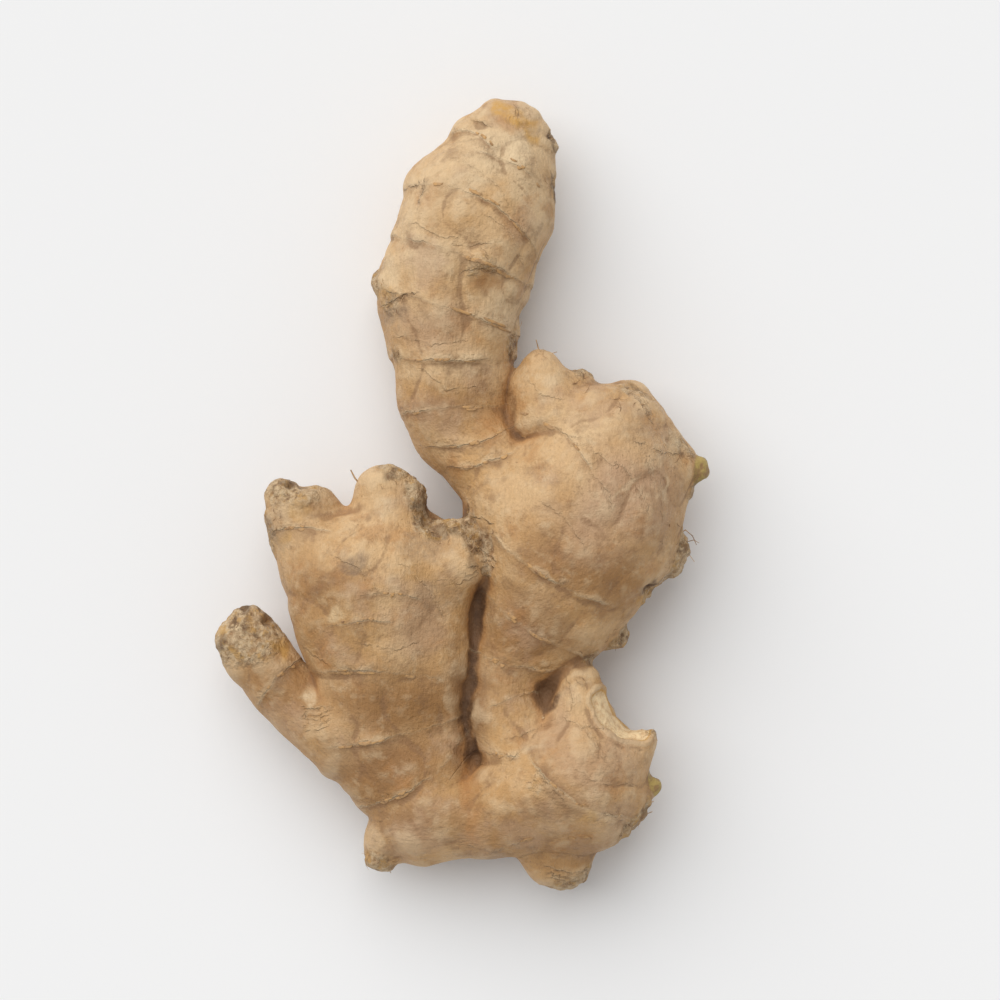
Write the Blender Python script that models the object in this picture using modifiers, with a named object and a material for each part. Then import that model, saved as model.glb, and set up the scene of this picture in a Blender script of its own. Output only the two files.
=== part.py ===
"""A fresh ginger root, lying on a flat surface.

The rhizome grew as one piece, so it is one solid. Each finger or joint of it is a limb: an oval section
carried along a smooth middle line. Limbs of one group flow into each other, and the groups meet in the
sharp creases where two fingers press together. A blank made of overlapping balls is remeshed, drawn onto
that form, given the relief of the skin, and cut flat where it touches the surface.

Frame: +Z up, the root rests on z = 0, +Y along the long finger, origin at the middle of the footprint.
"""

from collections import namedtuple

import bmesh
import bpy
import numpy as np
from mathutils import Matrix, Vector, noise

MM = 0.001

# Driving dimensions
ROOT_LENGTH = 159 * MM          # from the long finger's tip to the underside of the heel
DRAWN_LENGTH = 159              # the same length in the units of the limb and ring lists below
SIZE = ROOT_LENGTH / DRAWN_LENGTH

# Fineness of the solid
BEAD_STEP = 1.0 * SIZE          # spacing of the sections along a limb
BLANK_STEP = 2                  # the blank has a ball at every second section
VOXEL = 1.15 * MM
TRIANGLES = 11400
SETTLE_ROUNDS = 5

# How softly limbs meet: a small reach leaves a sharp crease
CREASE_REACH = 1.4 * SIZE       # between the arm, the heel and the hand
BASE_REACH = 3.5 * SIZE         # where the heel and the hand grow out of the base

# Relief of the skin
SWELL = (1.0 * MM, 21 * MM)     # slow swelling: height and wavelength
DENTS = (0.45 * MM, 8 * MM)     # shallow dents
CORK = (0.8 * MM, 2.6 * MM)     # rough corky tips
RING_WIDTH = 0.75 * MM          # raised lip of a leaf scar
RING_GROOVE = 1.5 * MM          # width of the recess on its older side
GROOVE_DEPTH = 0.55             # depth of that recess as a share of the lip's height
RING_RAGGED = (0.6 * MM, 4 * MM)  # how far the lip strays from its line, and over what length
RING_FADE = (0.8 * MM, 2.5 * MM)  # a ring fades out between these distances from its own limb
RING_ENDS = (0.55, 0.9)         # and between these shares of its length from its middle
RING_OVERRUN = 0.4              # its arch goes on this share of its length past either end

SKIN_COLOUR = (0.58, 0.38, 0.21, 1.0)
SKIN_ROUGHNESS = 0.62

Limb = namedtuple("Limb", "name group reach tip stations")
Ring = namedtuple("Ring", "limb lift left middle right")
Rough = namedtuple("Rough", "x y z radius amount")

# Limbs in millimetres. reach is how softly a limb grows out of those before it in its group, tip is how
# far its round end goes past the last station, and a station is x, y, z, half width, half height.
LIMBS = [
    Limb("base", "arm", 0, 8, [
        (-8, -64.5, 13.2, 9.6, 8.6), (1.4, -64.6, 14.0, 7.8, 8.2), (11, -62.4, 14.8, 9.6, 9.6),
        (19, -60, 15.0, 11.6, 12.0)]),
    Limb("right_arm", "arm", 5, 7, [
        (8.4, -61, 15.4, 8.8, 9.0), (10.8, -54, 15.4, 7.2, 8.4), (9.6, -48.5, 15.2, 7.6, 8.2),
        (8.6, -43.5, 14.6, 8.7, 8.2), (8.6, -38.5, 13.8, 9.2, 8.0),
        (9.6, -33, 13.8, 10.6, 8.4), (13.4, -27.2, 14.6, 13.6, 10.8),
        (20, -15, 16.6, 17.0, 14.2), (25.2, -3, 17.3, 19.2, 15.6), (26.6, 8, 17.0, 17.0, 14.4),
        (24.6, 14.5, 16.5, 12.6, 11.0)]),
    Limb("saddle", "arm", 4, 6, [
        (10.5, 5, 15.0, 7.5, 11.0), (12, -4, 15.5, 9.0, 12.5), (13, -15, 15.5, 9.0, 12.0)]),
    Limb("lobe_tip_left", "arm", 3, 4, [
        (17, 16, 17.0, 8.5, 8.0), (15.4, 22, 17.5, 6.6, 6.5), (15, 25.6, 17.5, 4.4, 4.5)]),
    Limb("lobe_tip_middle", "arm", 2.5, 3.4, [(22.6, 19, 16.0, 5.0, 6.0), (22.6, 22, 16.0, 3.6, 4.5)]),
    Limb("lobe_tip_top", "arm", 2.5, 3.6, [(32.4, 16, 15.5, 6.4, 6.5), (33, 19.6, 15.5, 4.0, 4.5)]),
    Limb("lobe_tip_right", "arm", 2.5, 3.4, [(37, 5, 16.0, 10.0, 9.0), (43.4, 3.6, 16.0, 6.6, 7.0)]),
    Limb("lobe_bud", "arm", 0.8, 2.0, [(46.2, 5.8, 17.6, 2.8, 3.0), (46.9, 4.3, 17.6, 2.6, 3.0)]),
    Limb("lobe_tip_low", "arm", 2.5, 3, [(37, -9.5, 14.5, 7.4, 7.5), (41.4, -11.6, 14.0, 4.4, 5.0)]),
    Limb("arm_nub", "arm", 1.5, 2, [
        (25, -25, 15.5, 5.5, 6.0), (29.6, -27.8, 15.2, 3.6, 3.6), (31.2, -28.4, 15.2, 2.9, 2.9)]),
    Limb("long_finger", "arm", 1.8, 4, [
        (12.6, -14, 15.0, 9.0, 10.0), (9.6, -6, 15.4, 9.8, 10.2), (8.2, 0, 15.4, 9.6, 10.4),
        (5.8, 4.6, 14.8, 9.2, 10.4), (2.6, 9.2, 14.0, 9.6, 10.4), (-0.6, 13.8, 13.2, 10.8, 10.6),
        (-2.2, 19, 12.6, 11.5, 11.0), (-2.1, 26, 12.4, 12.2, 11.7), (-2.5, 32, 12.5, 13.7, 12.5),
        (-2.7, 38, 12.8, 14.8, 13.3), (-2.0, 42.8, 13.1, 15.4, 13.6), (-0.7, 47.5, 13.4, 14.6, 13.9),
        (1.6, 54, 13.8, 15.0, 13.9), (3.5, 59, 13.8, 15.9, 13.5), (5.4, 64, 13.6, 13.4, 12.4),
        (6.6, 68, 13.6, 11.2, 10.8), (7.2, 71.8, 13.8, 9.0, 8.8), (5.4, 75.3, 14.4, 5.0, 5.8)]),
    Limb("finger_tip_left", "arm", 3, 3.4, [(1.0, 73.0, 14.0, 3.2, 5.0)]),
    Limb("finger_tip_right", "arm", 3, 3.4, [(14.9, 65.4, 14.0, 3.4, 5.0), (14.6, 69.4, 14.2, 3.6, 4.8)]),
    Limb("finger_bulge_left", "arm", 1.5, 2.8, [(-14.4, 42.6, 13.5, 4.0, 6.0)]),

    Limb("heel", "heel", 4, 8.6, [
        (15, -59, 14.6, 12.4, 12.5), (24, -56.6, 14.4, 15.0, 15.0), (28.8, -56.0, 14.8, 12.0, 12.0)]),
    Limb("heel_knob_top", "heel", 3.5, 3.6, [
        (23.4, -48, 16.5, 9.2, 9.0), (22.8, -41, 18.0, 6.6, 6.4), (22.8, -36.4, 18.6, 4.6, 4.8)]),
    Limb("heel_knob_right", "heel", 2, 2.8, [
        (31.4, -53, 17.0, 6.8, 7.0), (36.0, -48.4, 17.5, 3.4, 3.4)]),
    Limb("heel_bud", "heel", 0.8, 1.6, [(36.8, -58.6, 16.5, 2.1, 2.4), (38.0, -57.8, 16.8, 1.8, 2.0)]),
    Limb("heel_knob_bottom", "heel", 3, 6.8, [(17, -66, 13.0, 9.5, 8.5), (18.6, -72.6, 12.0, 7.4, 6.5)]),

    Limb("palm", "hand", 4, 9, [
        (3, -64.4, 14.0, 8.0, 8.2), (-6.6, -61, 13.0, 9.6, 9.0), (-10.2, -54, 12.2, 14.2, 10.4),
        (-13.0, -49.5, 12.0, 14.8, 11.0), (-15.0, -46, 12.0, 14.8, 11.6),
        (-15.5, -42.5, 12.2, 14.5, 12.2), (-15.8, -38.5, 12.6, 14.9, 12.9),
        (-15.4, -33, 13.2, 15.8, 13.7), (-16.2, -25, 14.2, 17.2, 14.4),
        (-17, -16, 15.6, 18.6, 13.6), (-17.2, -11, 15.6, 17.0, 11.4)]),
    Limb("palm_edge", "hand", 4, 5, [
        (-4.2, -20, 18.0, 6.0, 7.6), (-5.2, -26, 17.6, 6.2, 7.8), (-5.4, -33, 17.0, 6.0, 7.6),
        (-6.4, -38.5, 16.4, 5.8, 7.2), (-6.4, -43, 15.6, 5.6, 6.4), (-5.4, -47.5, 14.8, 5.4, 6.0)]),
    Limb("finger_low_left", "hand", 2.5, 5.5, [
        (-24, -48.5, 13.0, 9.0, 8.5), (-31.2, -44.2, 13.0, 7.4, 7.0), (-36.8, -39.6, 13.5, 6.8, 6.4),
        (-41.2, -33.6, 14.0, 6.5, 6.0), (-43.9, -28.4, 14.5, 5.9, 5.6)]),
    Limb("finger_left", "hand", 3, 4, [
        (-26, -17, 14.5, 10.0, 10.0), (-29.8, -10, 14.5, 8.6, 8.5), (-31.8, -5.5, 14.5, 7.9, 7.5),
        (-32.9, -2.8, 14.5, 7.2, 7.0)]),
    Limb("finger_left_knob", "hand", 2, 3.8, [(-36, -0.4, 14.5, 3.8, 4.5)]),
    Limb("finger_middle", "hand", 3, 4.5, [
        (-14, -15, 15.5, 10.0, 10.0), (-15, -9, 16.0, 8.4, 8.5), (-15.4, -3, 16.5, 7.6, 7.5),
        (-16, 2, 17.0, 6.2, 6.0)]),
    Limb("finger_middle_knob", "hand", 2, 3.4, [(-10.8, 0.6, 17.0, 3.6, 4.5)]),
    Limb("shoulder", "hand", 3, 4, [
        (-8, -16, 16.5, 9.0, 10.0), (-1.4, -14.4, 18.5, 7.2, 8.0), (1.2, -13.8, 19.5, 5.6, 6.8)]),
    Limb("shoulder_knob", "hand", 2, 2.4, [
        (-2, -13, 19.0, 5.5, 7.0), (-1.6, -9, 19.5, 4.4, 5.6), (-2.2, -6.4, 19.5, 3.2, 4.6)]),
    Limb("palm_nub", "hand", 2.5, 2.4, [
        (-13, -67, 13.0, 5.0, 5.0), (-16.2, -71.0, 12.0, 4.1, 4.1), (-17.6, -73.6, 12.0, 3.2, 3.2)]),
]

# Leaf scars in millimetres: how far the lip stands up, then three points of its line from left to right
# as seen looking towards the limb's tip.
RINGS = [
    Ring("long_finger", 0.45, (-1.8, 72.8), (3.6, 71.4), (5.8, 68.8)),
    Ring("long_finger", 0.45, (6.5, 67.4), (11.8, 64.8), (17.1, 58.4)),
    Ring("long_finger", 0.45, (-8, 61.8), (4.5, 58.4), (13.2, 49.8)),
    Ring("long_finger", 0.75, (-13, 51.6), (0.2, 47.2), (13.4, 41.9)),
    Ring("long_finger", 0.5, (-17.7, 41.2), (-3.1, 37), (11.5, 32)),
    Ring("long_finger", 0.75, (-14.7, 27.8), (-4.4, 26.8), (8.8, 27.4)),
    Ring("long_finger", 0.4, (-13, 16.2), (-4.1, 17.1), (5.2, 17.8)),
    Ring("long_finger", 0.4, (-4.4, 9.2), (0.2, 9.8), (8.8, 13.4)),
    Ring("long_finger", 0.4, (-1.8, 5.2), (1.8, 5.8), (9.2, 8.5)),
    Ring("right_arm", 0.5, (9.6, 16.4), (18, 13.1), (22.9, 8.4)),
    Ring("right_arm", 0.75, (5.2, -6.6), (11.4, -12.8), (24.8, -20.5)),
    Ring("right_arm", 0.5, (4.8, -20.5), (11.4, -25.8), (23.8, -32.1)),
    Ring("right_arm", 0.45, (3.2, -31.8), (6.5, -33.1), (16.4, -34.8)),
    Ring("right_arm", 0.4, (7.9, -41.2), (11.6, -39.9), (15.6, -39)),
    Ring("right_arm", 0.35, (3.2, -51.6), (6.2, -51.6), (9.2, -51.6)),
    Ring("heel", 0.45, (30.4, -63.8), (22, -60.6), (15.6, -55.5)),
    Ring("heel_knob_bottom", 0.45, (27.2, -68.8), (16.2, -67.8), (7.2, -70.1)),
    Ring("palm", 0.6, (-30.2, -35.2), (-15.6, -35.2), (-3.2, -36.9)),
    Ring("palm", 0.6, (-27.5, -50.2), (-15.6, -48.5), (-4, -45.2)),
    Ring("palm", 0.45, (-17.7, -61.6), (-6.4, -55.6), (-2.4, -51.6)),
    Ring("palm", 0.35, (-24.8, -25.4), (-21.2, -24.8), (-16.6, -24.8)),
    Ring("palm", 0.35, (-18.2, -19.8), (-13.2, -19.8), (-10.6, -20.2)),
    Ring("finger_left", 0.35, (-40, -8), (-33, -6.5), (-25.5, -7.5)),
    Ring("finger_low_left", 0.35, (-40.5, -40), (-37, -36), (-32.5, -32.6)),
]

# Rough corky ends and edges: middle, radius and how rough
ROUGH_SPOTS = [
    Rough(-43.5, -27, 17, 10.5, 1.0), Rough(-33.5, -0.5, 17, 9.0, 1.0), Rough(-36.5, -8, 15, 6.5, 0.5),
    Rough(-15, 5, 18, 6.5, 0.45), Rough(-9, 0.5, 18, 5.5, 0.9), Rough(-6, -5, 20, 5.0, 0.9),
    Rough(-2.5, -5.5, 21, 4.0, 0.8), Rough(4.6, -11.5, 20, 4.0, 0.45), Rough(33, 17, 20, 6.5, 0.45),
    Rough(37, 11, 22, 5.5, 0.4), Rough(42, 8.5, 19, 5.0, 0.4), Rough(23.4, 23.5, 17, 3.6, 0.6),
    Rough(15, 27, 17, 3.2, 0.5), Rough(46, 2.5, 17, 4.2, 0.5), Rough(44, -8, 15, 4.5, 0.8),
    Rough(43, -12, 14, 5.5, 0.9), Rough(37, -17.5, 16, 5.2, 1.0), Rough(31, -28.5, 15, 4.2, 1.0),
    Rough(24, -34.5, 18, 4.0, 0.8), Rough(32, -66, 16, 7.5, 1.0), Rough(22, -75.5, 12, 6.0, 0.55),
    Rough(-17.5, -73, 12, 4.4, 0.9), Rough(-17, 42.5, 14, 4.0, 0.7), Rough(10, 74.5, 18, 5.0, 0.35),
    Rough(18, 62, 15, 4.0, 0.6), Rough(17.4, 71, 15, 2.6, 0.7),
]

# The dished scar where a finger broke off, along the notch in the heel
SCAR_LINE = [(27.4, -40.6), (28.8, -43.8), (31.6, -46.2), (35.6, -46.6)]
SCAR_WIDTH = 2.6 * MM           # half of the scar's width
SCAR_DEPTH = 0.9 * MM
SCAR_FLOOR = 11 * MM            # the scar ends this high above the surface


def clear_scene():
    for old in list(bpy.data.objects):
        bpy.data.objects.remove(old, do_unlink=True)


def sections(stations):
    """Sections every BEAD_STEP along a smooth curve through a limb's stations."""
    rows = np.array(stations, dtype=float) * SIZE
    if len(rows) == 1:
        return rows
    before = 2 * rows[0] - rows[1]
    after = 2 * rows[-1] - rows[-2]
    rows = np.vstack([before, rows, after])
    samples = []
    for p0, p1, p2, p3 in zip(rows, rows[1:], rows[2:], rows[3:]):
        count = max(2, round(np.linalg.norm(p2[:3] - p1[:3]) / BEAD_STEP))
        for t in np.arange(count) / count:
            line = 2 * p1 + (p2 - p0) * t
            curve = (2 * p0 - 5 * p1 + 4 * p2 - p3) * t ** 2 + (3 * p1 - p0 - 3 * p2 + p3) * t ** 3
            samples.append((line + curve) / 2)
    samples.append(rows[-2])
    return np.array(samples)


def beads(limb):
    """A limb as overlapping ellipsoids: centre, radii, and axes across, up and along as columns."""
    rows = sections(limb.stations)
    if len(rows) == 1:
        directions = [np.array([0.0, 1.0, 0.0])]
    else:
        directions = np.gradient(rows[:, :3], axis=0)
    result = []
    for row, along in zip(rows, directions):
        along = along / np.linalg.norm(along)
        across = np.cross(along, (0.0, 0.0, 1.0))
        across /= np.linalg.norm(across)
        up = np.cross(across, along)
        radii = np.array([row[3], row[4], limb.tip * SIZE])
        result.append((row[:3], radii, np.column_stack([across, up, along])))
    return result


def limb_distance(points, chain):
    """How far each point lies outside a limb, or less than zero inside it."""
    nearest = np.full(len(points), np.inf)
    for centre, radii, axes in chain:
        local = (points - centre) @ axes
        scaled = np.linalg.norm(local / radii, axis=1)
        slope = np.linalg.norm(local / radii ** 2, axis=1) + 1e-9
        np.minimum(nearest, scaled * (scaled - 1) / slope, out=nearest)
    return nearest


def blend(first, second, reach):
    """The lesser of two distances, with the corner between them filled within reach."""
    if reach == 0:
        return np.minimum(first, second)
    overlap = np.maximum(reach - np.abs(first - second), 0) / reach
    return np.minimum(first, second) - overlap ** 3 * reach / 6


def form_distance(points, chains):
    """Distance to the whole root, and to each limb."""
    each = {limb.name: limb_distance(points, chains[limb.name]) for limb in LIMBS}
    groups = {}
    for limb in LIMBS:
        if limb.group in groups:
            groups[limb.group] = blend(groups[limb.group], each[limb.name], limb.reach * SIZE)
        else:
            groups[limb.group] = each[limb.name]
    for group in ("heel", "hand"):
        groups[group] = blend(groups[group], each["base"], BASE_REACH)
    whole = groups["arm"]
    for group in ("heel", "hand"):
        whole = blend(whole, groups[group], CREASE_REACH)
    return whole, each


def make_blank(chains):
    """A closed mesh close to the form: balls along every limb, joined by a voxel remesh."""
    shape = bmesh.new()
    for chain in chains.values():
        for centre, radii, axes in chain[::BLANK_STEP] + [chain[-1]]:
            turn = Matrix(axes.tolist()).to_4x4()
            place = Matrix.Translation(Vector(centre)) @ turn @ Matrix.Diagonal((*radii, 1))
            bmesh.ops.create_icosphere(shape, subdivisions=3, radius=1, matrix=place)
    mesh = bpy.data.meshes.new("ginger_blank")
    shape.to_mesh(mesh)
    shape.free()
    blank = bpy.data.objects.new("ginger_root", mesh)
    remesh = blank.modifiers.new("Join", "REMESH")
    remesh.mode = "VOXEL"
    remesh.voxel_size = VOXEL
    return blank


def apply_modifiers(solid):
    """Swap an object's mesh for the mesh its modifiers make."""
    scene = bpy.context.view_layer.depsgraph
    scene.update()
    made = bpy.data.meshes.new_from_object(solid.evaluated_get(scene))
    old = solid.data
    solid.modifiers.clear()
    solid.data = made
    bpy.data.meshes.remove(old)


def read_points(mesh):
    points = np.empty(len(mesh.vertices) * 3)
    mesh.vertices.foreach_get("co", points)
    return points.reshape(-1, 3)


def read_normals(mesh):
    normals = np.empty(len(mesh.vertices) * 3)
    mesh.vertex_normals.foreach_get("vector", normals)
    return normals.reshape(-1, 3)


def write_points(mesh, points):
    mesh.vertices.foreach_set("co", points.ravel())
    mesh.update()


def settle(mesh, chains):
    """Draw the blank's skin onto the form."""
    for _ in range(SETTLE_ROUNDS):
        points = read_points(mesh)
        distance, _limbs = form_distance(points, chains)
        write_points(mesh, points - read_normals(mesh) * distance[:, None])


def wave(points, size, seed):
    """Smooth noise between -1 and 1 whose features are about size across."""
    shift = Vector((seed * 7.1, seed * 3.3, seed * 5.7))
    return np.array([noise.noise(Vector(point) / size + shift) for point in points])


def fade(values, start, end):
    """1 below start, 0 above end, smooth in between."""
    t = np.clip((end - values) / (end - start), 0, 1)
    return t * t * (3 - 2 * t)


def ring_offset(points, ring):
    """How far each point lies past a ring towards the limb's tip, and its place along the ring."""
    left, middle, right = (np.array(point) * SIZE for point in (ring.left, ring.middle, ring.right))
    chord = right - left
    length = np.linalg.norm(chord)
    towards_tip = np.array([-chord[1], chord[0]]) / length
    place = (points[:, :2] - left) @ chord / length ** 2
    half = (middle - left) @ chord / length ** 2
    bow = (middle - left) @ towards_tip / (4 * half * (1 - half))
    on_line = np.clip(place, -RING_OVERRUN, 1 + RING_OVERRUN)
    arch = 4 * bow * on_line * (1 - on_line)
    return (points[:, :2] - left) @ towards_tip - arch, place


def ring_relief(points, whole, each):
    """Raised lips of the leaf scars, each with a recess on its older side."""
    height = np.zeros(len(points))
    ragged = wave(points, RING_RAGGED[1], 5) * RING_RAGGED[0]
    for ring in RINGS:
        offset, place = ring_offset(points, ring)
        offset = offset + ragged
        own = fade(each[ring.limb] - whole, *RING_FADE) * fade(np.abs(place - 0.5), *RING_ENDS)
        lip = np.exp(-(offset / RING_WIDTH) ** 2)
        groove = np.exp(-((offset + RING_GROOVE) / RING_GROOVE) ** 2)
        height += own * ring.lift * MM * (lip - GROOVE_DEPTH * groove)
    return height


def spot_weight(points, spot):
    """1 at the middle of a round spot on the skin, falling to 0 at its edge."""
    centre = np.array([spot.x, spot.y, spot.z]) * SIZE
    return fade(np.linalg.norm(points - centre, axis=1), 0.5 * spot.radius * SIZE, spot.radius * SIZE)


def line_gap(points, line):
    """Distance of each point from a line of points in millimetres, seen from above."""
    line = np.array(line) * SIZE
    gap = np.full(len(points), np.inf)
    for start, end in zip(line, line[1:]):
        run = end - start
        t = np.clip((points[:, :2] - start) @ run / (run @ run), 0, 1)
        gap = np.minimum(gap, np.linalg.norm(points[:, :2] - start - t[:, None] * run, axis=1))
    return gap


def relief(points, whole, each):
    """How far each point of the skin stands out from the smooth form."""
    height = wave(points, SWELL[1], 1) * SWELL[0] + wave(points, DENTS[1], 2) * DENTS[0]
    height += ring_relief(points, whole, each)
    cork = np.max([spot_weight(points, spot) * spot.amount for spot in ROUGH_SPOTS], axis=0)
    height += cork * wave(points, CORK[1], 3) * CORK[0]
    above = fade(-points[:, 2], -SCAR_FLOOR - 2 * MM, -SCAR_FLOOR)
    height -= fade(line_gap(points, SCAR_LINE), 0.5 * SCAR_WIDTH, SCAR_WIDTH) * above * SCAR_DEPTH
    return height


def thin_out(solid, triangles):
    """Fewer, larger triangles where the skin is plain."""
    decimate = solid.modifiers.new("Thin out", "DECIMATE")
    faces = sum(len(face.vertices) - 2 for face in solid.data.polygons)
    decimate.ratio = triangles / faces
    decimate.use_collapse_triangulate = True
    apply_modifiers(solid)


def cut_resting_spots(mesh):
    """Cut the root flat at z = 0, where its lowest bumps touch the surface."""
    shape = bmesh.new()
    shape.from_mesh(mesh)
    everything = shape.verts[:] + shape.edges[:] + shape.faces[:]
    bmesh.ops.bisect_plane(shape, geom=everything, plane_co=(0, 0, 0), plane_no=(0, 0, 1),
                           clear_inner=True)
    rims = [edge for edge in shape.edges if edge.is_boundary]
    bmesh.ops.holes_fill(shape, edges=rims)
    bmesh.ops.recalc_face_normals(shape, faces=shape.faces)
    shape.to_mesh(mesh)
    shape.free()


def skin_material():
    skin = bpy.data.materials.new("ginger_skin")
    skin.use_nodes = True
    shader = skin.node_tree.nodes["Principled BSDF"]
    shader.inputs["Base Color"].default_value = SKIN_COLOUR
    shader.inputs["Roughness"].default_value = SKIN_ROUGHNESS
    shader.inputs["Metallic"].default_value = 0.0
    return skin


def make_root():
    chains = {limb.name: beads(limb) for limb in LIMBS}
    root = make_blank(chains)
    collection = bpy.data.collections.new("ginger_root")
    bpy.context.scene.collection.children.link(collection)
    collection.objects.link(root)
    apply_modifiers(root)
    settle(root.data, chains)
    points = read_points(root.data)
    height = relief(points, *form_distance(points, chains))
    write_points(root.data, points + read_normals(root.data) * height[:, None])
    thin_out(root, TRIANGLES)
    cut_resting_spots(root.data)
    root.data.materials.clear()
    root.data.materials.append(skin_material())
    root.data.shade_smooth()
    return root


clear_scene()
make_root()
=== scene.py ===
"""The looks of a fresh ginger root: its skin, scars, corky tips, flakes and rootlets, on a pale table.

The skin is the form of the frame's solid on a finer mesh, drawn from the same limbs and leaf scars. The
finer relief is worked out for each vertex, with the masks that the skin's material reads.
Lists are in millimetres in the root's own frame, and all other lengths are in metres.
"""

import math
from collections import namedtuple

import bmesh
import bpy
import numpy as np
from mathutils import Matrix, Vector, noise
from mathutils.bvhtree import BVHTree


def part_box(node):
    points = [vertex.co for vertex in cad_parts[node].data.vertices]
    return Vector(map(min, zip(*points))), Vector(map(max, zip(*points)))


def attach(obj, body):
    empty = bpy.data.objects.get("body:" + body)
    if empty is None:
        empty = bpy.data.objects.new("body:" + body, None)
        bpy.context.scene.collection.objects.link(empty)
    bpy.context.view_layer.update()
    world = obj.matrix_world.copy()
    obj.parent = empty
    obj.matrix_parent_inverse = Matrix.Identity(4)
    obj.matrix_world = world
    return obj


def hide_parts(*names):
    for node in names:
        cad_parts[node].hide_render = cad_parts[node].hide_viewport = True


NODE = "ginger_root"
MM = 0.001

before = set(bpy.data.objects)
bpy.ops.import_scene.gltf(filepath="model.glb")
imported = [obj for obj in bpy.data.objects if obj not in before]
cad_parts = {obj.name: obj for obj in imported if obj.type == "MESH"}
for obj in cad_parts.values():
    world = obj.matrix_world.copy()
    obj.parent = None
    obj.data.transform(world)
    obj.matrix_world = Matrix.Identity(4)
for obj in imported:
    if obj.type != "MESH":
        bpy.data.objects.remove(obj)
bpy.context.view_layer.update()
NODE_LOW, NODE_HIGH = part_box(NODE)

# Driving dimensions
DRAWN_LENGTH = 159.67           # the node's length in the units of the lists below
SIZE = (NODE_HIGH.y - NODE_LOW.y) / DRAWN_LENGTH

# Fineness of the skin
BEAD_STEP = 1.0 * SIZE          # spacing of the sections along a limb
BLANK_STEP = 2                  # the blank has a ball at every second section
BLANK_SMOOTHING = 6
VOXEL = 0.63 * MM
SETTLE_ROUNDS = 5
POLISH_ROUNDS = 2               # takes out the faint ripple of the sections
SPLIT_FROM = 0.8                # the mesh is twice as fine where it is this rough, from 0 to 1
NEAR = 7 * MM                   # a limb is measured this far from its box, and beyond it counts as FAR
FAR = 12 * MM

# How softly limbs meet: a small reach leaves a sharp crease
CREASE_REACH = 1.4 * SIZE
BASE_REACH = 3.5 * SIZE
WELD_REACH = 7.0 * SIZE         # between the arm and the heel, where they melt together

# Relief: height or depth, size, and the seed of its noise
SWELL = (1.0 * MM, 21 * MM, 1)
DENTS = (0.45 * MM, 8 * MM, 2)
FACETS = (0.75 * MM, 12 * MM, 10)   # flattened planes that meet in blunt edges
LUMPS = (0.16 * MM, 3.4 * MM, 7)
GRIT = (0.06 * MM, 1.4 * MM, 8)
FOLDS = (0.025 * MM, 1.5 * MM, 11)  # wrinkles across a limb
FOLD_STRETCH = 0.3
CORK = (0.6 * MM, 2.6 * MM, 3)
CORK_RIDGES = (0.35 * MM, 2.4 * MM, 12)
CORK_GRAINS = (0.28 * MM, 0.9 * MM, 13)
BUMP_DEPTH = 0.28 * MM          # of the finest relief, which only the material has

# Relief that comes and goes: size and seed of the patches, what is left between them, and where in the
# noise they fade
RING_PATCHES = (9 * MM, 15, 0.25, -0.25, 0.3)
FOLD_PATCHES = (15 * MM, 9, 0.35, -0.2, 0.35)

# Masks
VALLEY_ROUNDS = 110             # rounds of averaging that find the broad hollows
NOOK_ROUNDS = 6                 # and the narrow ones
GRAIN_REACH = 4 * MM            # a limb gives its direction to the skin this close to it
SPOT_CORE = 0.5                 # share of a round spot's radius where it has its full strength

# Leaf scars
RING_LIFT = 0.5                 # how high a lip stands on the fine skin, as a share of the solid's
RING_TIP_SIDE = 1.9 * MM        # the lip slopes gently on the side of the limb's tip
RING_OLD_SIDE = 0.4 * MM        # and drops steeply on the older side
RING_GROOVE = 1.1 * MM
GROOVE_DEPTH = 0.3
RING_RAGGED = (0.6 * MM, 4 * MM, 5)
RING_TORN = (0.28 * MM, 1.1 * MM, 6)
RING_FADE = (0.8 * MM, 2.5 * MM)
RING_ENDS = (0.55, 0.9)
RING_OVERRUN = 0.4
RING_REACH = (1.32 * MM, 2.2 * MM)  # the line is drawn only this close to the scar
RING_FAINT = 0.02               # weaker lines are left out
# The band below each scar's lip is painted shade
BAND_WIDTH = 3.2 * MM           # mottled band on the older side
BAND_FALL = 1.5                 # how fast the band fades

Limb = namedtuple("Limb", "name group reach tip stations")
Ring = namedtuple("Ring", "limb lift left middle right")
Spot = namedtuple("Spot", "x y z radius")
Rough = namedtuple("Rough", "x y z radius amount")
ColourPatch = namedtuple("ColourPatch", "colour x y length width strength turn", defaults=[0])
Pit = namedtuple("Pit", "x y radius depth shade")

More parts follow.
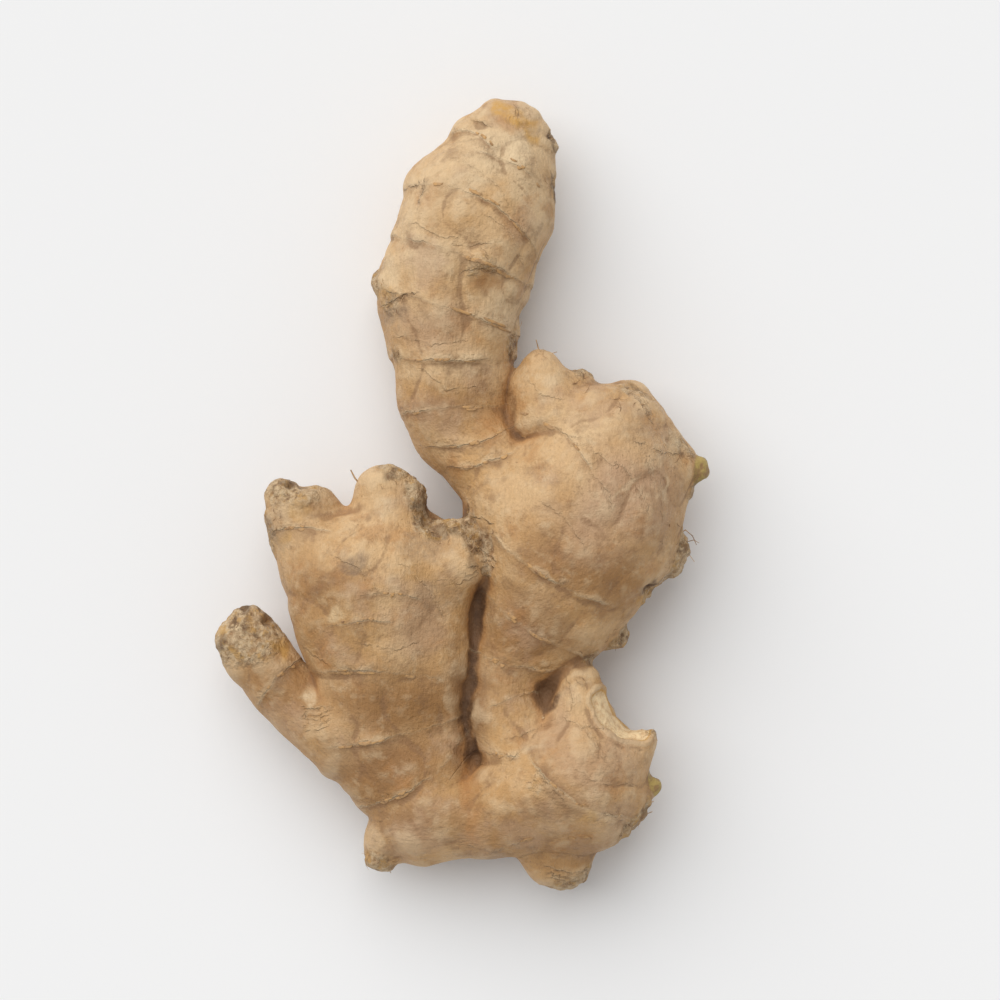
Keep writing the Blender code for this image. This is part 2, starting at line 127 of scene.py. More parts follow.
# reach is how softly a limb grows out of those before it in its group, tip is how far its round end goes
# past the last station, and a station is x, y, z, half width, half height.
LIMBS = [
    Limb("base", "arm", 0, 8, [
        (-8, -64.5, 13.2, 9.6, 8.6), (1.4, -64.6, 14, 7.8, 8.2), (11, -62.4, 14.8, 9.6, 9.6),
        (19, -60, 15, 11.6, 12)]),
    Limb("right_arm", "arm", 5, 7, [
        (8.4, -61, 15.4, 8.8, 9), (10.8, -54, 15.4, 7.2, 8.4), (9.3, -48.5, 15.2, 8, 8.2),
        (8.2, -43.5, 14.8, 9.2, 8.4), (8.2, -38.5, 14.2, 9.7, 8.2), (9.3, -33, 14, 11, 8.6),
        (13.4, -27.2, 14.6, 13.6, 10.8), (20, -15, 16.6, 17, 14.2), (25.2, -3, 17.3, 19.2, 15.6),
        (26.6, 8, 17, 17, 14.4), (24.6, 14.5, 16.5, 12.6, 11)]),
    Limb("saddle", "arm", 4, 6, [(10.5, 5, 15, 7.5, 11), (12, -4, 15.5, 9, 12.5), (13, -15, 15.5, 9, 12)]),
    Limb("lobe_tip_left", "arm", 3, 4, [
        (17, 16, 17, 8.5, 8), (15.4, 22, 17.5, 6.6, 6.5), (15, 25.6, 17.5, 4.4, 4.5)]),
    Limb("lobe_tip_middle", "arm", 2.5, 3.4, [(22.6, 19, 16, 5, 6), (22.6, 22, 16, 3.6, 4.5)]),
    Limb("lobe_tip_top", "arm", 2.5, 3.6, [(32.4, 16, 15.5, 6.4, 6.5), (33, 19.6, 15.5, 4, 4.5)]),
    Limb("lobe_tip_right", "arm", 2.5, 3.4, [(37, 5, 16, 10, 9), (43.4, 3.6, 16, 6.6, 7)]),
    Limb("lobe_bud", "arm", 0.8, 2, [(46.2, 5.8, 17.6, 2.8, 3), (46.9, 4.3, 17.6, 2.6, 3)]),
    Limb("lobe_tip_low", "arm", 2.5, 3, [(37, -9.5, 14.5, 7.4, 7.5), (41.4, -11.6, 14, 4.4, 5)]),
    Limb("arm_nub", "arm", 1.5, 2, [
        (25, -25, 15.5, 5.5, 6), (29.6, -27.8, 15.2, 3.6, 3.6), (31.2, -28.4, 15.2, 2.9, 2.9)]),
    Limb("long_finger", "arm", 1.8, 4, [
        (12.6, -14, 15, 9, 10), (9.6, -6, 15.4, 9.8, 10.2), (8.2, 0, 15.4, 9.6, 10.4),
        (5.8, 4.6, 14.8, 9.2, 10.4), (2.6, 9.2, 14, 9.6, 10.4), (-0.6, 13.8, 13.2, 10.8, 10.6),
        (-2.2, 19, 12.6, 11.5, 11), (-2.1, 26, 12.4, 12.2, 11.7), (-2.5, 32, 12.5, 13.7, 12.5),
        (-2.7, 38, 12.8, 14.8, 13.3), (-2, 42.8, 13.1, 15.4, 13.6), (-0.7, 47.5, 13.4, 14.6, 13.9),
        (1.6, 54, 13.8, 15, 13.9), (3.5, 59, 13.8, 15.9, 13.5), (5.4, 64, 13.6, 13.4, 12.4),
        (6.6, 68, 13.6, 11.2, 10.8), (7.2, 71.8, 13.8, 9, 8.8), (5.4, 75.3, 14.4, 5, 5.8)]),
    Limb("finger_tip_left", "arm", 3, 3.4, [(1, 73, 14, 3.2, 5)]),
    Limb("finger_tip_right", "arm", 3, 3.4, [(14.9, 65.4, 14, 3.4, 5), (14.6, 69.4, 14.2, 3.6, 4.8)]),
    Limb("finger_bulge_left", "arm", 1.5, 2.8, [(-14.4, 42.6, 13.5, 4, 6)]),
    Limb("heel", "heel", 4, 8.6, [
        (15, -59, 14.6, 12.4, 12.5), (24, -56.6, 14.4, 15, 15), (28.8, -56, 14.8, 12, 12)]),
    Limb("heel_knob_top", "heel", 3.5, 3.6, [
        (23.4, -48, 16.5, 9.2, 9), (22.8, -41, 18, 6.6, 6.4), (22.8, -36.4, 18.6, 4.6, 4.8)]),
    Limb("heel_knob_right", "heel", 2, 2.8, [(31.4, -53, 17, 6.8, 7), (36, -48.4, 17.5, 3.4, 3.4)]),
    Limb("heel_bud", "heel", 0.8, 1.6, [(36.8, -58.6, 16.5, 2.1, 2.4), (38, -57.8, 16.8, 1.8, 2)]),
    Limb("heel_knob_bottom", "heel", 3, 6.8, [(17, -66, 13, 9.5, 8.5), (18.6, -72.6, 12, 7.4, 6.5)]),
    Limb("palm", "hand", 4, 9, [
        (3, -64.4, 14, 8, 8.2), (-6.6, -61, 13, 9.6, 9), (-10.2, -54, 12.2, 14.2, 10.4),
        (-13, -49.5, 12, 14.8, 11), (-15, -46, 12, 14.8, 11.6), (-15.5, -42.5, 12.2, 14.5, 12.2),
        (-15.8, -38.5, 12.6, 14.9, 12.9), (-15.4, -33, 13.2, 15.8, 13.7), (-16.2, -25, 14.2, 17.2, 14.4),
        (-17, -16, 15.6, 18.6, 13.6), (-17.2, -11, 15.6, 17, 11.4)]),
    Limb("palm_edge", "hand", 4, 5, [
        (-4, -20, 18, 6.2, 7.6), (-4.6, -26, 17.8, 6.4, 7.8), (-4.6, -33, 17.4, 6.3, 7.6),
        (-5.5, -38.5, 16.8, 6.2, 7.2), (-5.6, -43, 15.8, 5.9, 6.4), (-5.2, -47.5, 14.8, 5.4, 6)]),
    Limb("finger_low_left", "hand", 2.5, 5.5, [
        (-24, -48.5, 13, 9, 8.5), (-31.2, -44.2, 13, 7.4, 7), (-36.8, -39.6, 13.5, 6.8, 6.4),
        (-41.2, -33.6, 14, 6.5, 6), (-43.9, -28.4, 14.5, 5.9, 5.6)]),
    Limb("finger_left", "hand", 3, 4, [
        (-26, -17, 14.5, 10, 10), (-29.8, -10, 14.5, 8.6, 8.5), (-31.8, -5.5, 14.5, 7.9, 7.5),
        (-32.9, -2.8, 14.5, 7.2, 7)]),
    Limb("finger_left_knob", "hand", 2, 3.8, [(-36, -0.4, 14.5, 3.8, 4.5)]),
    Limb("finger_middle", "hand", 3, 4.5, [
        (-14, -15, 15.5, 10, 10), (-15, -9, 16, 8.4, 8.5), (-15.4, -3, 16.5, 7.6, 7.5),
        (-16, 2, 17, 6.2, 6)]),
    Limb("finger_middle_knob", "hand", 2, 3.4, [(-10.8, 0.6, 17, 3.6, 4.5)]),
    Limb("shoulder", "hand", 3, 4, [
        (-8, -16, 16.5, 9, 10), (-1.4, -14.4, 18.5, 7.2, 8), (1.2, -13.8, 19.5, 5.6, 6.8)]),
    Limb("shoulder_knob", "hand", 2, 2.4, [
        (-2, -13, 19, 5.5, 7), (-1.6, -9, 19.5, 4.4, 5.6), (-2.2, -6.4, 19.5, 3.2, 4.6)]),
    Limb("palm_nub", "hand", 2.5, 2.4, [
        (-13, -67, 13, 5, 5), (-16.2, -71, 12, 4.1, 4.1), (-17.6, -73.6, 12, 3.2, 3.2)]),
]

# Where the crease between the arm and the heel runs out
WELD = Spot(11.5, -53, 21, 15)

# Leaf scars: how far the lip stands up, then three points of its line from left to right as seen looking
# towards the limb's tip.
RINGS = [Ring(*row) for row in (
    ("long_finger", 0.45, (-1.8, 72.8), (3.6, 71.4), (5.8, 68.8)),
    ("long_finger", 0.45, (6.5, 67.4), (11.8, 64.8), (17.1, 58.4)),
    ("long_finger", 0.45, (-8, 61.8), (4.5, 58.4), (13.2, 49.8)),
    ("long_finger", 0.75, (-13, 51.6), (0.2, 47.2), (13.4, 41.9)),
    ("long_finger", 0.5, (-17.7, 41.2), (-3.1, 37), (11.5, 32)),
    ("long_finger", 0.75, (-14.7, 27.8), (-4.4, 26.8), (8.8, 27.4)),
    ("long_finger", 0.4, (-13, 16.2), (-4.1, 17.1), (5.2, 17.8)),
    ("long_finger", 0.4, (-4.4, 9.2), (0.2, 9.8), (8.8, 13.4)),
    ("long_finger", 0.4, (-1.8, 5.2), (1.8, 5.8), (9.2, 8.5)),
    ("right_arm", 0.5, (9.6, 16.4), (18, 13.1), (22.9, 8.4)),
    ("right_arm", 0.75, (5.2, -6.6), (11.4, -12.8), (24.8, -20.5)),
    ("right_arm", 0.5, (4.8, -20.5), (11.4, -25.8), (23.8, -32.1)),
    ("right_arm", 0.45, (3.2, -31.8), (6.5, -33.1), (16.4, -34.8)),
    ("right_arm", 0.4, (6.4, -41.4), (10, -40.2), (13.4, -39.6)),
    ("right_arm", 0.35, (3.2, -51.6), (6.2, -51.6), (9.2, -51.6)),
    ("heel", 0.45, (30.4, -63.8), (22, -60.6), (15.6, -55.5)),
    ("heel_knob_bottom", 0.45, (27.2, -68.8), (16.2, -67.8), (7.2, -70.1)),
    ("palm", 0.6, (-30.2, -35.2), (-15.6, -35.2), (-3.2, -36.9)),
    ("palm", 0.6, (-27.5, -50.2), (-15.6, -48.5), (-4, -45.2)),
    ("palm", 0.45, (-17.7, -61.6), (-6.4, -55.6), (-2.4, -51.6)),
    ("palm", 0.35, (-24.8, -25.4), (-21.2, -24.8), (-16.6, -24.8)),
    ("palm", 0.35, (-18.2, -19.8), (-13.2, -19.8), (-10.6, -20.2)),
    ("finger_left", 0.35, (-40, -8), (-33, -6.5), (-25.5, -7.5)),
    ("finger_low_left", 0.35, (-40.5, -40), (-37, -36), (-32.5, -32.6)),
)]

# Rough corky ends and edges: middle, radius and how rough
ROUGH_SPOTS = [Rough(*row) for row in (
    (-43.5, -27, 17, 9.5, 0.95), (-33.5, 1, 17, 7.5, 0.7), (-38.4, -7, 15, 6, 0.8),
    (-14.4, 4.6, 19, 4.6, 0.8), (-8.4, 0.6, 20, 5.5, 1), (-6, -5.4, 22, 5.6, 1), (-1.6, -5.2, 22, 4.8, 1),
    (2.8, -9, 23, 4.8, 0.75), (5, -13.8, 21, 4.4, 0.75), (33, 18.5, 20, 6, 0.6), (38, 11, 22, 6, 0.35),
    (42.5, 9, 19, 5, 0.6), (23.4, 23.5, 17, 4, 0.8), (15, 28, 17, 3.2, 0.7), (46, 1, 17, 4.8, 0.7),
    (44.4, -8, 15, 5.5, 0.9), (42.5, -12.6, 15, 6.5, 1), (37.4, -18, 17, 6.4, 1),
    (31.4, -28.8, 16, 4.4, 1), (23.6, -33.6, 18, 4.4, 0.9), (33, -65, 16, 7.5, 1),
    (21, -77, 12, 6.5, 0.8), (-17.8, -74, 12, 4.8, 1), (-17.4, 42.5, 14, 4.4, 0.9),
    (10.6, 75.5, 18, 3, 0.3), (18.4, 61.5, 15, 4.4, 0.8), (17.6, 71, 15, 3.2, 0.9),
    (3.4, 45.6, 27, 3.2, 0.6), (-14.6, 38.6, 20, 3.4, 0.5), (-14.2, 28.2, 19, 2.6, 0.5),
    (10.6, 30.4, 17, 3.4, 0.8), (15, -57.5, 26, 3.4, 0.5), (37.4, -47.4, 18, 2.6, 0.6),
)]
ROUGH_RAGGED = (1.6 * MM, 3.2 * MM, 14)

# The dished scar where a finger broke off, along the notch in the heel, and the buds
SCAR_LINE = [(27.4, -40.6), (28.8, -43.8), (31.6, -46.2), (35.6, -46.6)]
SCAR_WIDTH = (1.3 * MM, 2.1 * MM)   # it ends between these distances from its line
SCAR_DEPTH = 0.8 * MM
SCAR_LIP = 0.5 * MM
SCAR_LIP_PLACE = (2.6 * MM, 0.6 * MM)   # its distance from the line, and its width
SCAR_RAGGED = (0.5 * MM, 3 * MM, 16)
SCAR_FLOOR = (11 * MM, 13 * MM)     # and between these heights above the surface
BUDS = [Spot(48.0, 4.8, 18, 4.8), Spot(38.6, -57.6, 17, 3.4)]

# How far the edges of the tones, stains and patches of painted light and shade stray, over what length,
# and where they fade as a share of their size
TONE_AND_SHADE_RAGGED = (4 * MM, 9 * MM)
TONE_AND_SHADE_EDGE = (0.3, 1.3)
STAIN_AND_SHADE_RAGGED = (1.2 * MM, 2.6 * MM)
STAIN_AND_SHADE_EDGE = (0.5, 1.2)
STRAY_SEEDS = (21, 22)

# Skin colours
TAN = (0.54, 0.312, 0.128)
STRAW = (0.665, 0.442, 0.232)
DEEP_TAN_AND_SHADE = (0.36, 0.184, 0.066)
ROSE = (0.47, 0.296, 0.178)
UMBER = (0.25, 0.13, 0.058)
ORANGE = (0.44, 0.205, 0.065)
PALE = (0.74, 0.56, 0.345)
BARK_AND_SHADE = (0.105, 0.052, 0.024)
SOIL_AND_PIT_SHADE = (0.13, 0.065, 0.03)
GREY = (0.31, 0.205, 0.125)
DRAB = (0.43, 0.262, 0.13)
OCHRE = (0.60, 0.33, 0.085)
CREAM = (0.86, 0.65, 0.38)
LIME = (0.43, 0.31, 0.09)

# Clouds in the skin and in the cork: colour, size, detail, roughness and shift of the noise, where in the
# noise they begin and end, and their strength
SKIN_CLOUDS = (
    (ROSE, 15, 5, 0.62, 0.3, 0.52, 0.66, 0.5), (ORANGE, 8, 5, 0.65, 9.3, 0.54, 0.68, 0.45),
    (UMBER, 4.2, 6, 0.7, 0.7, 0.48, 0.7, 0.52), (PALE, 3.4, 6, 0.7, 8.1, 0.52, 0.72, 0.34),
)
CORK_CLOUDS = (
    (UMBER, 4, 5, 0.7, 4.9, 0.5, 0.64, 0.5), (OCHRE, 2.6, 4, 0.65, 4.3, 0.5, 0.64, 0.75),
    (SOIL_AND_PIT_SHADE, 3.6, 5, 0.72, 5.7, 0.53, 0.64, 0.75),
)

# Colour by hollowness: orange-brown in broad hollows, partly the skin's own crease colour and partly
# painted shade;
# near-black painted shade in the deepest hollows and umber painted shade in narrow ones; a painted
# highlight on small
# bumps. Columns: the mask, where it begins and is full, its strength and the colour
HOLLOW_TINT_SHADE_AND_HIGHLIGHT = (
    ("valley", 0.12, 0.8, 0.66, ORANGE), ("valley", 0.68, 1.35, 0.95, BARK_AND_SHADE),
    ("nook", 0.015, 0.09, 0.55, UMBER), ("nook", -0.03, -0.12, 0.35, PALE),
)

# Broad changes of tone, partly the skin's own and partly painted light and shade: paler on the lit top of
# the long finger, darker on the lower and right flanks and down the crease between the hand and the arm.
# Columns: colour, middle, half length, half width, strength, and a turn in degrees from +X
TONES_WITH_LIGHT_AND_SHADE = [ColourPatch(*row) for row in (
    (PALE, 7, 68, 13, 10, 0.7), (PALE, -5, 62, 9, 9, 0.45), (PALE, -8, 50, 8, 9, 0.65),
    (PALE, 13, 58, 5, 9, 0.65, -15), (PALE, -14, 43, 4, 5, 0.6), (STRAW, 7, 50, 8, 10, 0.6),
    (DEEP_TAN_AND_SHADE, -3, 17, 12, 6, 0.6), (ROSE, -5, 33, 10, 6, 0.6), (PALE, 8, 38, 6, 9, 0.7),
    (PALE, -2, 27, 11, 5, 0.45), (STRAW, 20, 12, 13, 10, 0.7), (PALE, 26, 14, 8, 5, 0.4),
    (ROSE, 33, -1, 12, 13, 0.8), (DEEP_TAN_AND_SHADE, 24, -15, 17, 8, 0.95, -25), (DEEP_TAN_AND_SHADE, 11, -28, 10, 8, 1, -30),
    (DEEP_TAN_AND_SHADE, 38, -4, 6, 9, 0.5), (TAN, 8, -42, 7, 5, 0.7), (ROSE, 27, -52, 12, 8, 0.6),
    (STRAW, 22, -44, 6, 6, 0.6), (DEEP_TAN_AND_SHADE, 20, -70, 12, 6, 0.55), (DEEP_TAN_AND_SHADE, 3, -66, 12, 7, 0.7),
    (STRAW, -16, 0, 8, 9, 0.6), (STRAW, -31, -8, 7, 8, 0.4), (DEEP_TAN_AND_SHADE, -24, -20, 10, 5, 0.7, 35),
    (DEEP_TAN_AND_SHADE, -13, -41, 18, 9, 1), (DEEP_TAN_AND_SHADE, -15, -55, 15, 9, 1, 20), (DEEP_TAN_AND_SHADE, -37, -40, 12, 7, 0.9, -50),
    (ROSE, -8, -27, 8, 6, 0.6), (DEEP_TAN_AND_SHADE, -27, -30, 6, 10, 0.6, 20), (DEEP_TAN_AND_SHADE, -31, -17, 5, 9, 0.8),
    (UMBER, 15, -24, 12, 6, 0.6, -33), (UMBER, 7, -37, 7, 6, 0.55), (UMBER, 0.4, -44, 4.6, 15, 0.85),
    (UMBER, 20, -60, 9, 5, 0.55), (UMBER, -20, -51, 10, 7, 0.6), (UMBER, -11, -66, 11, 6, 0.7),
    (UMBER, -29, -4, 5, 5, 0.4), (ROSE, 24, -6, 10, 8, 0.7), (PALE, 40, 10, 5, 5, 0.6),
    (UMBER, 8, -19, 4, 4, 0.4),
)]

# Stains and torn patches, and dark lines of painted shade along the creases, in the same order
STAINS_AND_CREASE_SHADE = [ColourPatch(*row) for row in (
    (OCHRE, 7.4, 76.6, 3, 1.6, 0.95, -50), (OCHRE, 11, 74.6, 4.2, 1.4, 0.95, -25),
    (UMBER, 12.4, 73.6, 1.8, 0.7, 0.8, -20), (OCHRE, 13.6, 71.4, 1.2, 2.4, 0.85, 10),
    (PALE, 11, 69.6, 3, 3, 0.6), (PALE, 2.6, 76.4, 1.8, 1.6, 0.5), (PALE, 0.6, 61.4, 4.4, 2.6, 0.5, 10),
    (PALE, -10.4, 56.4, 2, 3.4, 0.5), (BARK_AND_SHADE, 16.8, 71.8, 0.8, 1.2, 0.8, 10),
    (BARK_AND_SHADE, 18, 60.6, 0.8, 2.4, 0.8, 10), (ORANGE, -6.5, 59.5, 4.6, 2, 0.4, 40),
    (UMBER, -2.4, 59.6, 1.8, 1.4, 0.4), (ORANGE, 10, 53, 3, 5, 0.4, 20),
    (ORANGE, 4.4, 41.8, 4.4, 2, 0.6, -8), (STRAW, 3.2, 46, 3.2, 1.4, 0.7, -15),
    (GREY, -14.2, 36, 3, 1.8, 0.7, 20), (OCHRE, -15.4, 40.4, 2.2, 1.4, 0.5, -20),
    (UMBER, -11.8, 39.2, 2, 0.8, 0.6, 20), (UMBER, -5, 18, 10, 1.2, 0.4, 2),
    (ORANGE, 5, 13.4, 3.4, 4.4, 0.5), (ORANGE, 9, 16.6, 1.6, 6.4, 0.6),
    (ORANGE, -2.4, 5.4, 3, 2.4, 0.5, -40), (PALE, 16.6, 23, 2.6, 1.6, 0.5), (PALE, 12, 24, 1.6, 2.4, 0.4),
    (UMBER, 17.8, -2, 2.2, 1, 0.35), (PALE, 31.4, 1.4, 4, 0.7, 0.5, 35),
    (PALE, 40, 0.8, 0.5, 4, 0.55, -8), (GREY, 33.6, 14.6, 3.6, 5, 0.35, 20),
    (GREY, -22, -13.6, 3.6, 1.6, 0.75, 35), (UMBER, -27.8, -17.6, 4, 1.6, 0.6, 40),
    (UMBER, -18, -19.4, 4.4, 1.2, 0.4, 15), (GREY, -8, -10.4, 6, 3.2, 0.5), (GREY, -5, -20, 5, 4, 0.35),
    (CREAM, -25.8, -23.8, 2.6, 1.4, 0.55, 20), (PALE, -15.4, -2.4, 2.6, 2.2, 0.5),
    (OCHRE, -3.4, -4, 2.4, 1.4, 0.6, 40), (BARK_AND_SHADE, -8.4, -2.4, 1.6, 4.2, 0.6, -10),
    (BARK_AND_SHADE, -3.6, -7, 3.4, 1.4, 0.5, 20), (OCHRE, -37, -31, 1.2, 3.4, 0.7, 25),
    (GREY, -37, -37, 2.6, 1.6, 0.5, 45), (PALE, -31.2, -40.8, 1.4, 2.6, 0.75, 10),
    (ORANGE, -27.8, -33.6, 1.6, 2, 0.7), (GREY, -37, -6.5, 1.6, 6, 0.5, 10),
    (OCHRE, -35.6, -8.8, 1.2, 1.2, 0.6), (UMBER, 3.2, -9, 3.2, 3.2, 0.35),
    (ORANGE, 0.6, -58.2, 1.8, 5.4, 0.7, -8), (ORANGE, 1.4, -66, 1.4, 4, 0.5),
    (ORANGE, 14, -48.4, 4.6, 1, 0.6, 18), (UMBER, 17, -57.4, 2, 3.2, 0.5, 35),
    (UMBER, 13.6, -62, 3.8, 2.8, 0.5), (UMBER, 22.6, -33.4, 2.2, 1.2, 0.7),
    (PALE, 14.2, -48.8, 3.4, 1.6, 0.5, 30), (OCHRE, 24, -63.6, 2.4, 1.2, 0.45, 25),
    (UMBER, -14.6, -71, 3, 1.4, 0.4, 30), (BARK_AND_SHADE, 36.4, -63, 1.6, 1.4, 0.8, 40),
    # The dark lines from (2.8, -22) to (9.4, 17) are painted shade down the creases: between the hand and
    # the arm, the arm and the heel's knob, and the long finger and the lobe
    (GREY, 7, -72, 3, 1.4, 0.4), (BARK_AND_SHADE, 2.8, -22, 6, 0.9, 0.9, 84), (BARK_AND_SHADE, 1.4, -34, 7, 0.9, 0.95, 86),
    (BARK_AND_SHADE, 0.4, -44, 5, 1, 0.95, 90), (BARK_AND_SHADE, 1.4, -50.5, 3.6, 1, 0.95, 75),
    (BARK_AND_SHADE, 17.4, -41, 3.2, 0.8, 0.8, 62), (BARK_AND_SHADE, 9.4, 17, 6.4, 0.8, 0.9, 92),
    (BARK_AND_SHADE, -44.4, -22.4, 1.8, 1, 0.75, 20), (BARK_AND_SHADE, -48.2, -29.4, 0.9, 2, 0.7, -10),
    (BARK_AND_SHADE, -43.4, -27, 1.4, 0.8, 0.65, 40), (UMBER, -40, -25, 1.2, 1.6, 0.7, 30),
    (BARK_AND_SHADE, -35.6, 2.4, 1.8, 0.9, 0.7, 10), (UMBER, -38, -6, 1.3, 3.2, 0.7, 15),
    (BARK_AND_SHADE, -40, -2.4, 0.8, 1.8, 0.6), (BARK_AND_SHADE, -14.6, 4.4, 1.5, 1.1, 0.75, 40),
    (OCHRE, -33, -3.4, 2.6, 1.8, 0.35, 20), (UMBER, -5.9, -6.6, 1.6, 1.2, 0.7),
    (BARK_AND_SHADE, 1.4, -12.6, 0.8, 2.2, 0.5, 10), (BARK_AND_SHADE, 37, -18.4, 2, 1.2, 0.85, 50),
    (OCHRE, 35.6, -21.2, 1.6, 1.2, 0.6), (BARK_AND_SHADE, 31.4, -28.6, 0.9, 1.6, 0.6),
)]

# Pits and bumps in the upper side: middle, radius, depth, and how much painted shade darkens them, from 0
# to 1
PITS = [Pit(*row) for row in (
    (4.4, 41.2, 4.4, 0.8, 0), (3, 46, 4, -0.8, 0), (-35, 2, 1.4, 1.2, 0.7), (-7, -5, 1.8, 1.4, 0.8),
    (10.6, 30, 1.2, 0.5, 0.6), (-44.2, -23, 1.2, 1, 0.6), (-39.8, -25.4, 1.2, 1, 0.6),
    (36.8, -18.8, 1.6, 1.4, 0.9), (16.8, 71.8, 1, 0.8, 0.9),
)]
PIT_FLOOR = 0.1                 # share of the radius that is flat

# The larger wrinkles: how deep, from 0 to 1, then the points of the line seen from above
WRINKLES = [
    (0.9, (-15.4, 38), (-13.6, 38.6), (-12.2, 39.6), (-10.6, 39.8)),
    (0.5, (-12.6, 60), (-11.6, 61), (-9.8, 61.4)), (0.6, (-8, 61.8), (-8.6, 59.6), (-8.8, 57.6)),
    (0.5, (2.4, 74.5), (3.9, 73.8)), (0.8, (17.4, 63.4), (18.2, 61), (18.2, 58.4)),
    (0.28, (-1.6, 49.2), (1.2, 48.8), (4, 49.4)), (0.5, (0.4, 44), (3.4, 44.6), (6.4, 43.8)),
    (0.28, (20, -37), (20.8, -39), (21, -41.6)), (0.35, (14.6, -54.6), (16.4, -57.2), (19, -59.6)),
    (0.6, (0.2, -4.4), (3.2, -4.8), (5.2, -5.6)), (0.22, (18, 13), (20.4, 11.6), (23.4, 10.8)),
    (0.22, (22, 9.6), (24.4, 9), (26, 7.4)), (0.22, (26, 7.8), (28.4, 6), (31, 4.6)),
    (0.5, (31.4, 20.4), (34.2, 18.4), (36.4, 14.8)), (0.5, (17, -74.6), (21, -76.2), (24.6, -75.2)),
    (0.5, (17.4, -77), (21, -77.8), (24, -76.8)), (0.35, (27.6, -63), (31, -64.6), (33.4, -68)),
    (0.5, (2.6, -10.8), (5.6, -12.8)), (0.5, (1.2, -14.4), (3.2, -14.8), (5, -14.4)),
    (0.22, (-4.6, -17), (-1, -17.6), (2, -16.2)), (0.5, (-32, -42.6), (-30, -43.2), (-27.6, -42.6)),
    (0.28, (-31.6, -44.8), (-29, -45.2), (-27, -44)), (0.22, (-31, -47), (-28.4, -46.8), (-26.6, -45.8)),
    (0.5, (34.8, 9.9), (38.6, 8), (42.2, 8.2)), (0.22, (9, -48.4), (13, -47.2), (16.6, -45)),
    (0.28, (-31, -30.6), (-29.6, -32.4), (-27.6, -33.4)), (0.28, (13.2, 21.8), (15, 19.4), (18.4, 18.8)),
    (0.28, (25.6, 3.2), (28, 0.4), (28.8, -3.2)), (0.28, (30.2, 6), (33.4, 2.4), (35, -2.6)),
    (0.28, (36.2, 5.6), (38.4, 1.2), (38.6, -4)), (0.22, (15.6, -1.8), (19.4, -4.4), (22.8, -9.4)),
    (0.22, (-25.6, -12.4), (-20.8, -15), (-17.4, -18.8)),
    (0.22, (-12.4, -14), (-7.4, -18.4), (-4.6, -23.6)), (0.22, (-19.4, -30), (-13.4, -31), (-8.4, -29)),
    (0.22, (-1.8, 66.4), (2.4, 64.4), (6.6, 60.8)), (0.22, (5, 54.6), (8.8, 51.6), (10.8, 46.6)),
    (0.22, (-9.4, 53.4), (-5, 50.6), (-0.8, 50.4)), (0.22, (-12.4, 31.2), (-6.6, 29.6), (-0.4, 30.4)),
    (0.22, (-8.4, 24.6), (-3.2, 20.4), (2.2, 21.4)), (0.22, (20, -44.4), (24.4, -47), (27.4, -51.8)),
    (0.22, (22.4, -54.4), (27, -57.4), (33.4, -57.8)), (0.22, (-0.6, -70), (5.4, -71.4), (10.4, -69.4)),
]
WRINKLE_NEAR = (0.8 * MM, 1.6 * MM)     # a wrinkle is drawn only this close to its line
WRINKLE_ENDS = 2.0 * MM         # and thins out over this length past its ends
WRINKLE_SIDES = (-0.3, 0.0)     # and fades where the skin turns to face sideways

# Papery shreds of old leaf bases along the scars
FLAKE_SEED = 7
FLAKES_PER_RING = 4
FLAKE_STEP = 0.35 * MM
FLAKE_THICKNESS = 0.08 * MM
FLAKE_REACH = (0.1 * MM, 0.5 * MM)
FLAKE_LIFT = (0.02 * MM, 0.2 * MM)
FLAKE_PLACES = (0.04, 0.9)
FLAKE_SPANS = (0.06, 0.16)
FLAKE_SHIFT = (-0.3 * MM, 0.5 * MM)
FLAKE_TORN = (0.6, 1.0)
FLAKE_ROOT = ((-0.5 * MM, -0.12 * MM), (0.0, 0.06 * MM))    # how far out and how high
ABOVE = 60 * MM                 # rays are sent down onto the skin from here

# Fibres, listed: thickness, then points
FIBRES = [
    (0.45, (15, 26.6, 17), (14.8, 28.8, 18.4), (14.2, 31, 19.4)),
    (0.3, (16.4, 26.8, 17.5), (17, 28.2, 18.2), (18.4, 28.6, 18.6)),
    (0.3, (44.2, -7, 15.6), (45.6, -8.2, 16.2), (46.4, -10, 16.2)),
    (0.26, (43.6, -11.4, 15), (45, -12, 15.6), (46, -13.4, 15.8)),
    (0.24, (44.4, -9.4, 16.6), (45.8, -9, 17.6), (46.8, -9.6, 18.2)),
    (0.65, (-20.6, 1.6, 18), (-22, 3.4, 19), (-22.8, 5, 19.4)),
    (0.35, (-15.8, -74.6, 12.6), (-15, -76.2, 12.6)),
    (0.4, (35.4, -61.2, 15), (36.8, -62.2, 15.4), (37.8, -61.4, 15.8)),
    (0.35, (35.2, -63.4, 14.6), (36.6, -64, 15), (37.6, -63.6, 15)),
    (0.3, (39, 10.2, 19), (40.4, 11.2, 19.8), (41.6, 11.2, 20.2)),
]
FIBRE_ROOT = 0.3 * MM           # a fibre starts this deep in the skin nearest to its first point
SHRED_SEED = 11
SHREDS_PER_SPOT = 9             # short loose fibres on each rough spot
SHRED_LENGTH = (0.8 * MM, 2.4 * MM)
SHRED_THICKNESS = (0.08 * MM, 0.17 * MM)
SHRED_AWAY = 0.85               # share of the spot's radius
SHRED_POINTS = (0, 0.35, 0.7, 1)
SHRED_BEND = 0.9
SHRED_RISE = 0.35
SHRED_STEEPEST = 0.2

# Camera and light
CAMERA_PLACE = (7 * MM, -1 * MM, 718 * MM)
CAMERA_LENS = 126
KEY_DIRECTION = Vector((-0.5, 0.85, 1.0))
KEY_STRENGTH = 2.35
KEY_ANGLE = 75
WORLD_STRENGTH = 0.47
TABLE_COLOUR = (0.88, 0.88, 0.88)
TABLE_SIZE = 12.0


# The form


